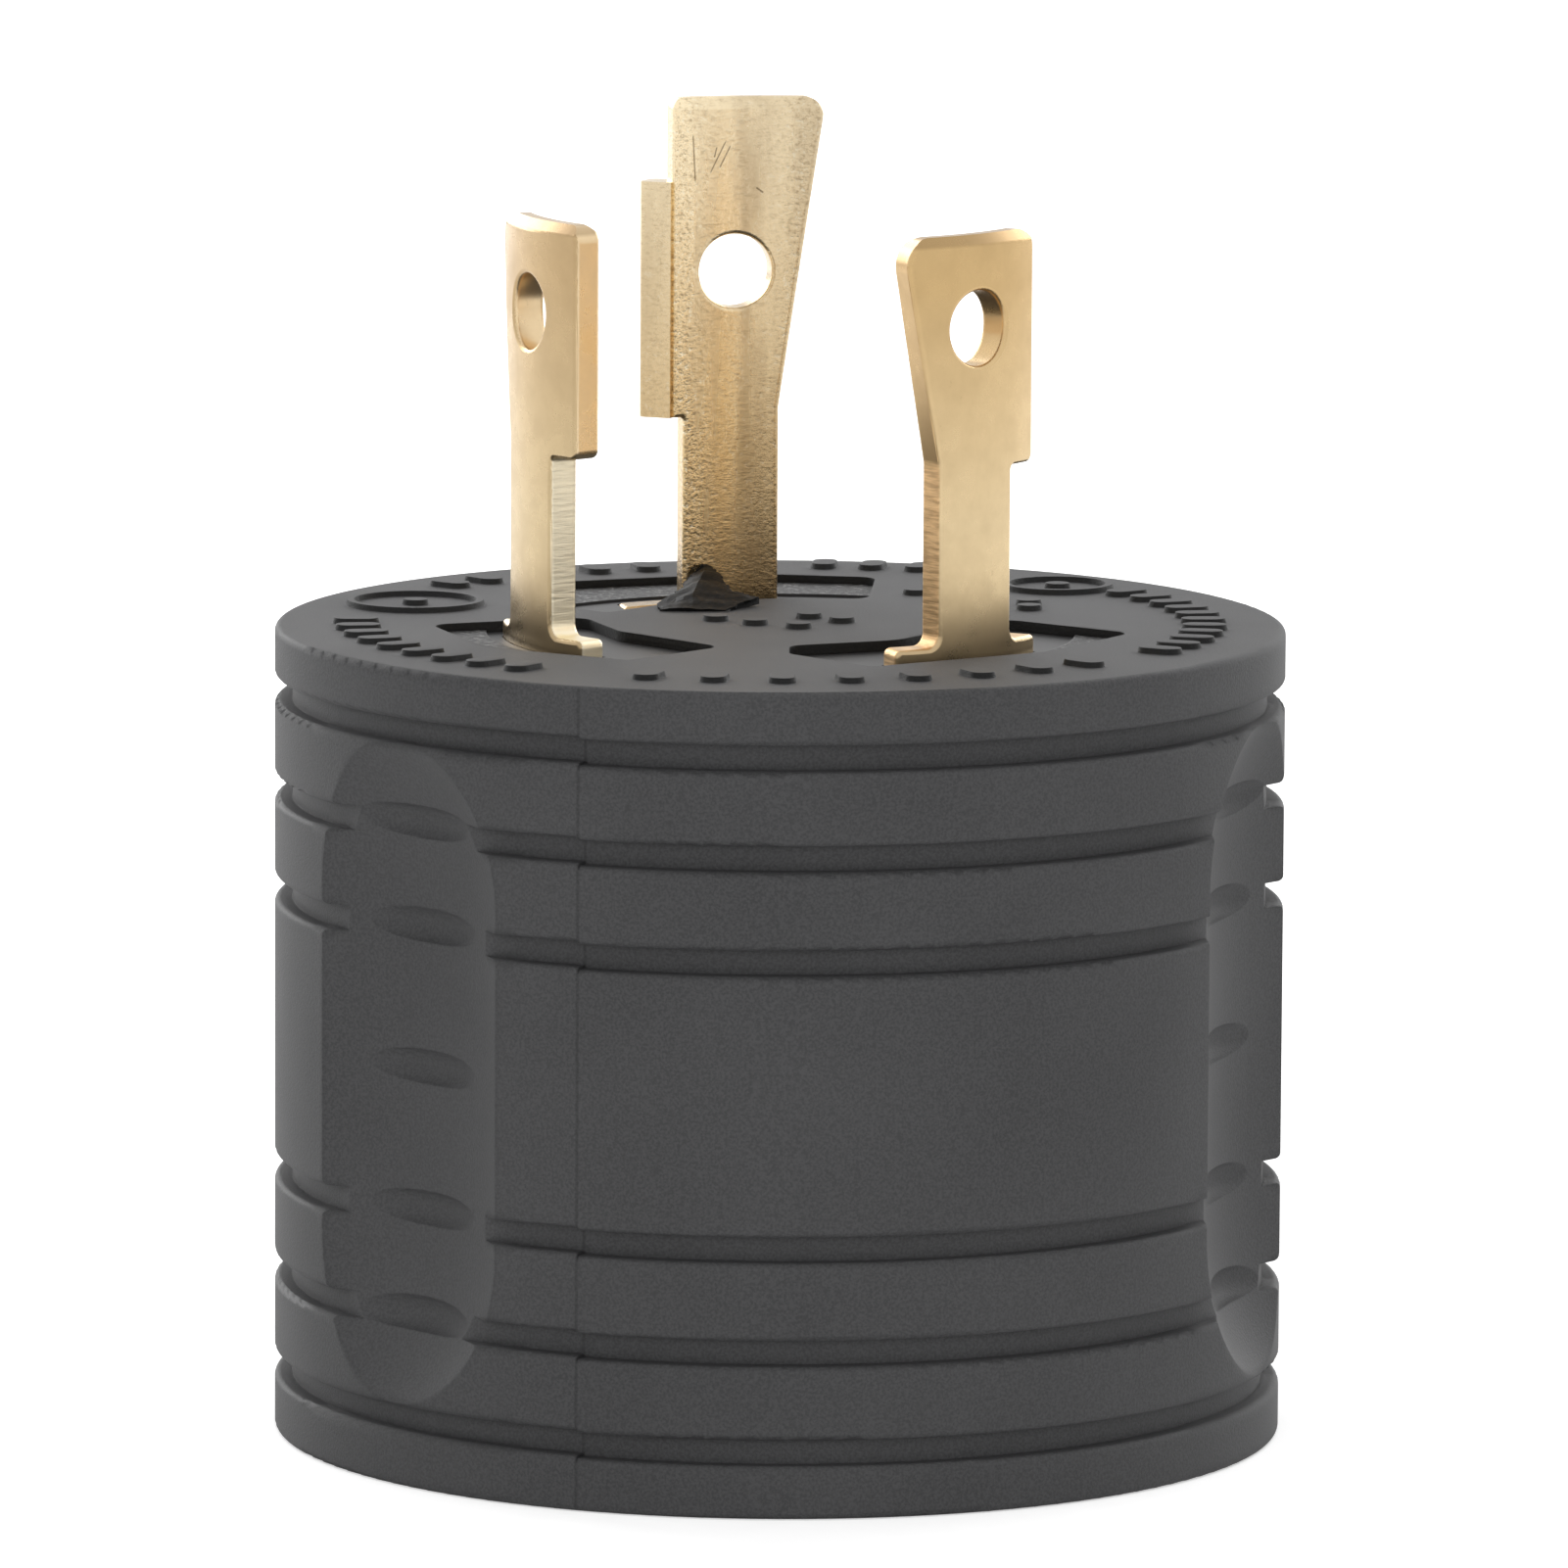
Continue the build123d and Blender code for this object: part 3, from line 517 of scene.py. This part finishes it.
# %% [markdown]
# ## Places on the ground blade
# The ground blade was hammered and bent, so its face is finely rippled, most of all near its two
# edges, and least on the hook. There are a few thin scratches near the tip. Each is given by its
# two ends on the blade, in millimetres: how far across from the blade's middle plane, and how far
# over the puck's face. The graph then measures each point's distance from that short line.

# %% Where the ground blade is worked and scratched
GROUND_ANGLE = radians(102)
GROUND_MIDDLE = -0.6 * MM
HOOK_CREASE = 3.4 * MM
HOOK_BLUR = 0.3 * MM
EDGE_ZONE = (1.4 * MM, 3.2 * MM)
WORKED_MIDDLE = 0.20
WORKED_EDGE = 0.60
WORKED_HOOK = 0.35
SCRATCH_WIDTH = 0.05 * MM
SCRATCH_FADE = 0.42
SCRATCHES = (
    ((0.35, 25.6), (1.30, 23.7)),
    ((0.10, 25.3), (0.75, 24.0)),
    ((0.90, 25.2), (1.05, 24.6)),
    ((2.30, 26.0), (2.15, 23.2)),
    ((-1.75, 22.6), (-1.35, 22.9)),
)


def across_blade(finish):
    """Distance across the ground blade from its middle plane, positive towards the hook."""
    x, y, _ = finish.split()
    part = finish.math("MULTIPLY", x, -sin(GROUND_ANGLE))
    return finish.math("MULTIPLY_ADD", y, cos(GROUND_ANGLE), part)


def worked_share(finish, across):
    """How strongly the hammering shows."""
    off_middle = finish.math("ABSOLUTE", finish.math("SUBTRACT", across, GROUND_MIDDLE))
    near_edge = finish.ramp(off_middle, *EDGE_ZONE)
    worked = finish.math("MULTIPLY_ADD", near_edge, WORKED_EDGE, WORKED_MIDDLE)
    calmer = finish.ramp(across, HOOK_CREASE, HOOK_CREASE + HOOK_BLUR, 1.0, WORKED_HOOK)
    return finish.math("MULTIPLY", worked, calmer)


def scratch(finish, across, height, start, end):
    """1 on a thin straight scratch between two points of the blade, and 0 elsewhere."""
    (u, v), (u_end, v_end) = start, end
    length = sqrt((u_end - u) ** 2 + (v_end - v) ** 2)
    along_u, along_v = (u_end - u) / length, (v_end - v) / length
    from_u = finish.math("SUBTRACT", across, u * MM)
    from_v = finish.math("SUBTRACT", height, FACE_HEIGHT + v * MM)
    along = finish.math("MULTIPLY", from_u, along_u)
    along = finish.math("MULTIPLY_ADD", from_v, along_v, along)
    off = finish.math("MULTIPLY", from_u, -along_v)
    off = finish.math("MULTIPLY_ADD", from_v, along_u, off)
    off = finish.math("ABSOLUTE", off)
    near = finish.ramp(off, SCRATCH_WIDTH / 2, SCRATCH_WIDTH, 1.0, 0.0)
    off_centre = finish.math("ABSOLUTE", finish.math("SUBTRACT", along, length / 2 * MM))
    in_length = finish.ramp(off_centre, length * SCRATCH_FADE * MM, length / 2 * MM, 1.0, 0.0)
    return finish.math("MULTIPLY", near, in_length)


def scratched(finish, across):
    """1 on all the scratches, and 0 elsewhere."""
    height = finish.split()["Z"]
    marks = 0.0
    for start, end in SCRATCHES:
        marks = finish.math("MAXIMUM", marks, scratch(finish, across, height, start, end))
    return marks


print("The ground blade has", len(SCRATCHES), "scratches")

# %% [markdown]
# ## The worked ground blade
# Broad bands of tone run up the blade, one of them darker than the rest, and it browns towards the
# foot, low on its right side and on the hook. Over them lies what the hammer left, dark pits and a
# net of fine creases, and bright glints that are painted highlights. Pits and glints come from the
# same ripple, so that they never fall on one another.

# %% Brass finish of the ground blade
GROUND_FOOT_TONE = srgb(228, 199, 150)
GROUND_TIP_TONE = srgb(255, 236, 198)
GROUND_TONE_RISE = (8, 25)
RIPPLE_SIZE = 0.26 * MM
RIPPLE_DEPTH = 0.085 * MM
PIT_TONE, PIT_SHARE, PIT_RANGE = srgb(116, 88, 54), 0.52, (0.54, 0.68)
PAINTED_GLINT_TONE, PAINTED_GLINT_SHARE, PAINTED_GLINT_LOW = srgb(255, 246, 220), 0.90, (0.34, 0.42)
SCRATCH_TONE, SCRATCH_SHARE, SCRATCH_DEPTH = srgb(90, 66, 40), 0.6, 0.02 * MM
CREASES_SIZE = 0.22 * MM
CREASES_STRETCH = (0.4, 0.4, 1.2)
CREASES_RANGE, CREASES_SMOKE = (0.52, 0.70), 0.24
CREASES_DEPTH = 0.012 * MM
BANDS_SIZE = 2.6 * MM
BANDS_STRETCH = (1.0, 1.0, 0.12)
BANDS_RANGE, BANDS_SMOKE = (0.45, 0.72), 0.22
DARK_BAND = -1.2 * MM
DARK_BAND_EDGE = (0.5 * MM, 1.5 * MM)
DARK_BAND_SMOKE, DARK_BAND_RANGE = 0.30, (0.3, 0.6)
RIGHT_SIDE = (-2.6 * MM, -0.2 * MM)
RIGHT_HEIGHTS, RIGHT_SMOKE = (4, 13), (0.5, 0.26)
HOOK_SMOKE_BLUR, HOOK_SMOKE = 0.2 * MM, 0.20
GROUND_FOOT_HEIGHTS, GROUND_FOOT_SMOKE = (0.5, 5.0), 0.35
GROUND_ROUGHNESS = (0.20, 0.32)


def ground_tones(finish, across, bands, creases):
    """The blade's own colour with all its brown bands and stains."""
    colour = finish.mix(above_face(finish, *GROUND_TONE_RISE), GROUND_FOOT_TONE, GROUND_TIP_TONE)
    off_band = finish.math("ABSOLUTE", finish.math("SUBTRACT", across, DARK_BAND))
    in_band = finish.ramp(off_band, *DARK_BAND_EDGE, DARK_BAND_SMOKE, 0.0)
    band = finish.math("MULTIPLY", in_band, finish.ramp(bands, *DARK_BAND_RANGE))
    colour = smoked(finish, colour, band)
    colour = smoked(finish, colour, finish.ramp(bands, *BANDS_RANGE, 0.0, BANDS_SMOKE))
    return smoked(finish, colour, finish.ramp(creases, *CREASES_RANGE, 0.0, CREASES_SMOKE))


def ground_stains(finish, across, colour):
    """Smoke low on the right side, on the hook and at the foot."""
    right = finish.ramp(across, *RIGHT_SIDE, 1.0, 0.0)
    right_low = above_face(finish, *RIGHT_HEIGHTS, *RIGHT_SMOKE)
    colour = smoked(finish, colour, finish.math("MULTIPLY", right, right_low))
    on_hook = finish.ramp(across, HOOK_CREASE, HOOK_CREASE + HOOK_SMOKE_BLUR, 0.0, HOOK_SMOKE)
    colour = smoked(finish, colour, on_hook)
    at_foot = above_face(finish, *GROUND_FOOT_HEIGHTS, GROUND_FOOT_SMOKE, 0.0)
    return smoked(finish, colour, at_foot)


def ground_brass():
    """Hammered, smoked and scratched brass, with painted glints."""
    finish = Finish("ground_blade_brass")
    across = across_blade(finish)
    worked = worked_share(finish, across)
    ripple = finish.noise(RIPPLE_SIZE, detail=3.0, roughness=0.65)
    creases = finish.noise(
        CREASES_SIZE, detail=3.0, roughness=0.65, vector=finish.scaled(*CREASES_STRETCH))
    bands = finish.noise(
        BANDS_SIZE, detail=3.0, roughness=0.6, vector=finish.scaled(*BANDS_STRETCH))
    colour = ground_tones(finish, across, bands, creases)
    pits = finish.math("MULTIPLY", finish.ramp(ripple, *PIT_RANGE), worked)
    colour = finish.mix(finish.math("MULTIPLY", pits, PIT_SHARE), colour, PIT_TONE)
    # Painted highlight: bright glints where the ripple is low, on the worked parts.
    painted_glints = finish.math("MULTIPLY", finish.ramp(ripple, *PAINTED_GLINT_LOW, 1.0, 0.0), worked)
    colour = finish.mix(finish.math("MULTIPLY", painted_glints, PAINTED_GLINT_SHARE), colour, PAINTED_GLINT_TONE)
    colour = ground_stains(finish, across, colour)
    marks = scratched(finish, across)
    colour = finish.mix(finish.math("MULTIPLY", marks, SCRATCH_SHARE), colour, SCRATCH_TONE)
    rough = finish.ramp(bands, *NOISE_RANGE, *GROUND_ROUGHNESS)
    relief = finish.bump(finish.math("MULTIPLY", ripple, worked), RIPPLE_DEPTH)
    relief = finish.bump(creases, CREASES_DEPTH, relief)
    relief = finish.bump(finish.math("MULTIPLY", marks, -1.0), SCRATCH_DEPTH, relief)
    return finish.set(Base_Color=colour, Roughness=rough, Metallic=1.0, Normal=relief)


dress(ground_brass(), "blade_brass", "ground_blade")

# %% [markdown]
# ## The torn flash
# A scrap of the face's skin was torn up when the ground blade went in, and it leans on the blade,
# crumpled, and its colour is painted almost black as shade. The solid under it is one flat flap.
# The crumpled sheet is laid over that flap as a net of three points a row, from the face to the
# blade, with a fold up its middle.
# The net is divided, creased by a fixed noise and made ragged at its rim, and then it gets the
# skin's thickness.

# %% Crumpled sheet over the flap
FLAP_FRONT = 4.6 * MM
FLAP_SLOPE = 1.7 / 9.1
# Across, away from the camera, and lifted over the flap, all in millimetres.
SHEET_ROWS = (
    ((-6.7, 4.9, 0.05), (-4.9, 4.8, 0.20), (-3.0, 4.9, 0.05)),
    ((-7.0, 7.0, -0.30), (-4.9, 6.9, 0.34), (-1.3, 7.4, 0.05)),
    ((-5.7, 8.6, 0.02), (-4.6, 8.9, 0.40), (-2.7, 8.3, 0.08)),
    ((-5.2, 10.8, 0.04), (-4.3, 10.9, 0.34), (-3.3, 10.9, 0.05)),
    ((-4.55, 12.6, 0.05), (-4.25, 12.7, 0.16), (-3.85, 12.6, 0.05)),
)
SHEET_THICKNESS = 0.14 * MM
SHEET_DIVISIONS = 7
SHEET_SEED = 4
CREASE_SIZE = 0.9 * MM
CREASE_HEIGHT = 0.13 * MM
RAGGED = 0.10 * MM


def on_flap(x, y, lift):
    """A point that is lifted this far over the flap, all in millimetres."""
    height = FACE_HEIGHT + FLAP_SLOPE * (y * MM - FLAP_FRONT) + lift * MM
    return Vector((x * MM, y * MM, height))


def crumple(built, random):
    """Crease the sheet and make its rim ragged."""
    for vert in built.verts:
        swell = noise.noise_vector(vert.co / CREASE_SIZE)
        vert.co.z += CREASE_HEIGHT * swell.z
        if vert.is_boundary:
            vert.co.x += random.uniform(-RAGGED, RAGGED)
            vert.co.y -= random.uniform(0, RAGGED)


def torn_sheet():
    """The crumpled sheet as an object; its thickness goes below the net."""
    built = bmesh.new()
    rows = [[built.verts.new(on_flap(*point)) for point in row] for row in SHEET_ROWS]
    for low, high in zip(rows, rows[1:]):
        for side in (0, 1):
            built.faces.new((low[side], low[side + 1], high[side + 1], high[side]))
    bmesh.ops.subdivide_edges(
        built, edges=built.edges[:], cuts=SHEET_DIVISIONS, use_grid_fill=True)
    # Blender's own noise would start from the clock, and every run would crease another way.
    noise.seed_set(SHEET_SEED)
    crumple(built, Random(SHEET_SEED))
    bmesh.ops.triangulate(built, faces=built.faces[:])
    mesh = bpy.data.meshes.new("torn_sheet")
    built.to_mesh(mesh)
    built.free()
    sheet = bpy.data.objects.new("torn_sheet", mesh)
    bpy.context.scene.collection.objects.link(sheet)
    thick = sheet.modifiers.new("thickness", "SOLIDIFY")
    thick.thickness = SHEET_THICKNESS
    thick.offset = -1.0
    return sheet


sheet = torn_sheet()
print("Torn sheet has", len(sheet.data.polygons), "triangles")

# %% Finish of the torn sheet
# Painted shade: the scrap is the grip's own vinyl, but its tones are painted almost black.
TORN_PAINTED_SHADE = srgb(5, 5, 5)
TORN_PAINTED_SHADE_PALE = srgb(14, 14, 15)
STRETCHED_SIZE = 0.3 * MM
STRETCHED_RANGE = (0.35, 0.7)
STRETCHED_DEPTH = 0.04 * MM
STRETCHED_ROUGHNESS = (0.50, 0.65)


def torn_finish():
    """Vinyl that was stretched until it tore, with its colour painted almost black as shade and
    hardly any gloss.
    """
    finish = Finish("torn_vinyl")
    stretched = finish.noise(STRETCHED_SIZE, detail=4.0, roughness=0.65)
    colour = finish.mix(
        finish.ramp(stretched, *STRETCHED_RANGE), TORN_PAINTED_SHADE, TORN_PAINTED_SHADE_PALE)
    rough = finish.ramp(stretched, *NOISE_RANGE, *STRETCHED_ROUGHNESS)
    relief = finish.bump(stretched, STRETCHED_DEPTH)
    return finish.set(
        Base_Color=colour, Roughness=rough, Normal=relief, Specular_IOR_Level=0.12)


sheet.data.materials.append(torn_finish().material)
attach(sheet, "root")
print("Torn sheet dressed with", sheet.data.materials[0].name)

# %% [markdown]
# ## Contacts, springs, rivets and screws
# These are hidden inside the grip, but the contacts are seen through the slots, and anyone who
# takes the model apart sees the rest. Rolled brass strip serves the contacts and rivets. The
# springs are drawn steel with lines along the strip, and the screws are zinc plated, which is
# brighter and a little blotchy.

# %% Finishes of the inner pieces
STRIP_TONE = srgb(222, 190, 136)
STRIP_DULL_TONE = srgb(196, 160, 104)
STRIP_MOTTLE_SIZE = 1.6 * MM
BLOTCH_SIZE = 0.9 * MM
BLOTCH_RANGE = (0.35, 0.65)
STRIP_ROUGHNESS = (0.28, 0.40)
DRAWN_SIZE = 0.10 * MM
DRAWN_DEPTH = 0.003 * MM
DARKER = 0.75


def strip_finish():
    """Plain rolled brass strip, a little dulled."""
    finish = Finish("contact_strip")
    mottle = finish.noise(STRIP_MOTTLE_SIZE, detail=4.0)
    colour = finish.mix(finish.ramp(mottle, *BLOTCH_RANGE), STRIP_TONE, STRIP_DULL_TONE)
    rough = finish.ramp(mottle, *NOISE_RANGE, *STRIP_ROUGHNESS)
    relief = finish.bump(rolled_grain(finish), ROLLED_DEPTH)
    return finish.set(Base_Color=colour, Roughness=rough, Metallic=1.0, Normal=relief)


def steel_finish(name, tone, drawn_along, roughness):
    """Steel with drawn lines along one way and soft blotches of a darker tone."""
    finish = Finish(name)
    drawn = finish.noise(DRAWN_SIZE, detail=2.0, vector=finish.scaled(*drawn_along))
    blotch = finish.noise(BLOTCH_SIZE, detail=4.0)
    darker = (*(DARKER * part for part in tone[:3]), 1.0)
    colour = finish.mix(finish.ramp(blotch, *BLOTCH_RANGE), tone, darker)
    rough = finish.ramp(blotch, *NOISE_RANGE, *roughness)
    relief = finish.bump(drawn, DRAWN_DEPTH)
    return finish.set(Base_Color=colour, Roughness=rough, Metallic=1.0, Normal=relief)


print("Drawn lines are", round(DRAWN_SIZE / MM, 2), "mm wide")

# %% Dress the inner pieces
CONTACTS = ("line_contact", "neutral_contact", "ground_contact")
RIVETS = ("line_rivet", "neutral_rivet", "ground_rivet")
SPRINGS = ("line_contact_spring", "neutral_contact_spring", "ground_contact_ring")
SCREWS = ("core_screw_a", "core_screw_b", "core_screw_c")
spring_steel = steel_finish(
    "spring_steel_drawn", srgb(190, 192, 196), (0.1, 0.1, 1.0), (0.26, 0.36))
screw_zinc = steel_finish("screw_zinc", srgb(208, 208, 204), (1.0, 1.0, 1.0), (0.30, 0.45))
dress(strip_finish(), "contact_brass", *CONTACTS, *RIVETS)
dress(spring_steel, "spring_steel", *SPRINGS)
dress(screw_zinc, "screw_steel", *SCREWS)

# %% [markdown]
# ## Floor and backdrop
# A product is shot on a sweep of white card. The floor here is one plane whose own colour is near
# white, a hair under the puck. What the camera and mirrors see of it gets a little extra, so that
# it joins the white background, and the shadow under the puck stays. The world gives the even
# part of the light, and the camera and mirrors see it as plain white.

# %% Floor and world
FLOOR_HALF = 3.0
FLOOR_GAP = 0.02 * MM
FLOOR_GLOW = 0.45
FLOOR_MIRROR_GLOW = 0.20
FIBRE_SIZE = 2 * MM
CARD_TONE = srgb(243, 243, 243)
CARD_PALE = srgb(247, 247, 247)
WORLD_LEVEL = 0.62
WHITE = (1.0, 1.0, 1.0, 1.0)


def camera_lift(tree, camera_share, mirror_share):
    """One share for rays from the camera, one for rays from a mirror, and 0 for light itself."""
    path = tree.nodes.new("ShaderNodeLightPath")
    total = 0.0
    for output, share in (("Is Camera Ray", camera_share), ("Is Glossy Ray", mirror_share)):
        step = tree.nodes.new("ShaderNodeMath")
        step.operation = "MULTIPLY_ADD"
        tree.links.new(path.outputs[output], step.inputs[0])
        step.inputs[1].default_value = share
        if isinstance(total, bpy.types.NodeSocket):
            tree.links.new(total, step.inputs[2])
        else:
            step.inputs[2].default_value = total
        total = step.outputs[0]
    return total


def floor_material():
    """White card with a faint fibre and no gloss."""
    finish = Finish("floor_card")
    glow = camera_lift(finish.tree, FLOOR_GLOW, FLOOR_MIRROR_GLOW)
    fibre = finish.noise(FIBRE_SIZE, detail=3.0)
    tone = finish.mix(finish.ramp(fibre, *NOISE_RANGE), CARD_TONE, CARD_PALE)
    finish.set(Base_Color=tone, Roughness=0.9, Specular_IOR_Level=0.0)
    return finish.set(Emission_Color=WHITE, Emission_Strength=glow).material


def floor_plane():
    """One large square under the puck."""
    mesh = bpy.data.meshes.new("floor")
    built = bmesh.new()
    corners = [(x * FLOOR_HALF, y * FLOOR_HALF, -FLOOR_GAP)
               for x, y in ((-1, -1), (1, -1), (1, 1), (-1, 1))]
    built.faces.new([built.verts.new(corner) for corner in corners])
    built.to_mesh(mesh)
    built.free()
    plane = bpy.data.objects.new("floor", mesh)
    plane.data.materials.append(floor_material())
    bpy.context.scene.collection.objects.link(plane)


def studio_world(strength):
    """Even light of this strength, which the camera and mirrors see as plain white."""
    world = bpy.data.worlds.new("studio")
    world.use_nodes = True
    tree = world.node_tree
    background = tree.nodes["Background"]
    background.inputs["Color"].default_value = WHITE
    lift = camera_lift(tree, 1.0, 1.0)
    level = tree.nodes.new("ShaderNodeMapRange")
    tree.links.new(lift, level.inputs["Value"])
    level.inputs["To Min"].default_value = strength
    level.inputs["To Max"].default_value = 1.0
    tree.links.new(level.outputs["Result"], background.inputs["Strength"])
    bpy.context.scene.world = world


floor_plane()
studio_world(WORLD_LEVEL)
print("Floor", 2 * FLOOR_HALF, "m wide; world at", WORLD_LEVEL)

# %% [markdown]
# ## Lamps
# Brass shows the lamps as a mirror does, so the places where they stand matter more than their
# power. Two large soft lamps stand well behind the puck, left and right. They give its edges a
# rim of light and the blades a broad, soft gloss. A lamp above and one in front lift the face and
# the front, and stay hidden in the metal.

# %% Lamps
MIDDLE = (0.0, 0.0, 0.035)
# Name, place, width, height, watts, and whether metal shows the lamp.
LAMPS = (
    ("lamp_left_back", (-0.44, 0.66, 0.34), 0.60, 0.50, 3.2, True),
    ("lamp_right_back", (0.46, 0.66, 0.34), 0.60, 0.50, 2.5, True),
    ("lamp_top", (0.0, -0.10, 0.75), 0.3, 0.3, 0.5, False),
    ("lamp_front", (0.0, -1.00, 0.30), 0.5, 0.4, 2.1, False),
)


def softbox(name, place, width, height, watts, in_metal):
    """A large flat lamp that faces the puck's middle."""
    lamp = bpy.data.lights.new(name, "AREA")
    lamp.shape = "RECTANGLE"
    lamp.size = width
    lamp.size_y = height
    lamp.energy = watts
    holder = bpy.data.objects.new(name, lamp)
    holder.location = place
    aim = Vector(MIDDLE) - Vector(place)
    holder.rotation_euler = aim.to_track_quat("-Z", "Y").to_euler()
    holder.visible_glossy = in_metal
    bpy.context.scene.collection.objects.link(holder)


for lamp_row in LAMPS:
    softbox(*lamp_row)
    print("Lamp", lamp_row[0], "at", lamp_row[1])

# %% [markdown]
# ## The camera
# The photograph was taken with a long lens from a little above, so the body's sides stay almost
# parallel and the top is a thin ellipse. The lens, the distance and the tilt were fitted to the
# rims and the blades. The camera is turned a third of a degree about its own axis, because the
# photograph leans by that much.

# %% Camera
CAMERA_TILT = radians(8.2475)
CAMERA_ROLL = radians(0.300)
CAMERA_DISTANCE = 0.77240
CAMERA_AIM = Vector((0.000244, 0.0, 0.036036))
LENS = 319.5
SENSOR_WIDTH = 36.0


def photo_camera():
    """The photograph's own view, as the scene's camera."""
    forward = Vector((0.0, cos(CAMERA_TILT), -sin(CAMERA_TILT)))
    right = Vector((1.0, 0.0, 0.0))
    up = right.cross(forward)
    basis = Matrix((right, up, -forward)).transposed()
    spun = basis @ Matrix.Rotation(CAMERA_ROLL, 3, "Z")
    place = Matrix.Translation(CAMERA_AIM - CAMERA_DISTANCE * forward)
    camera = bpy.data.cameras.new("photo_camera")
    camera.sensor_width = SENSOR_WIDTH
    camera.lens = LENS
    holder = bpy.data.objects.new("photo_camera", camera)
    holder.matrix_world = place @ spun.to_4x4()
    bpy.context.scene.collection.objects.link(holder)
    bpy.context.scene.camera = holder


photo_camera()
bpy.context.scene.view_settings.view_transform = "Standard"
print("Camera", CAMERA_DISTANCE, "m from its aim, with a lens of", LENS, "mm")

# %% [markdown]
# ## The end
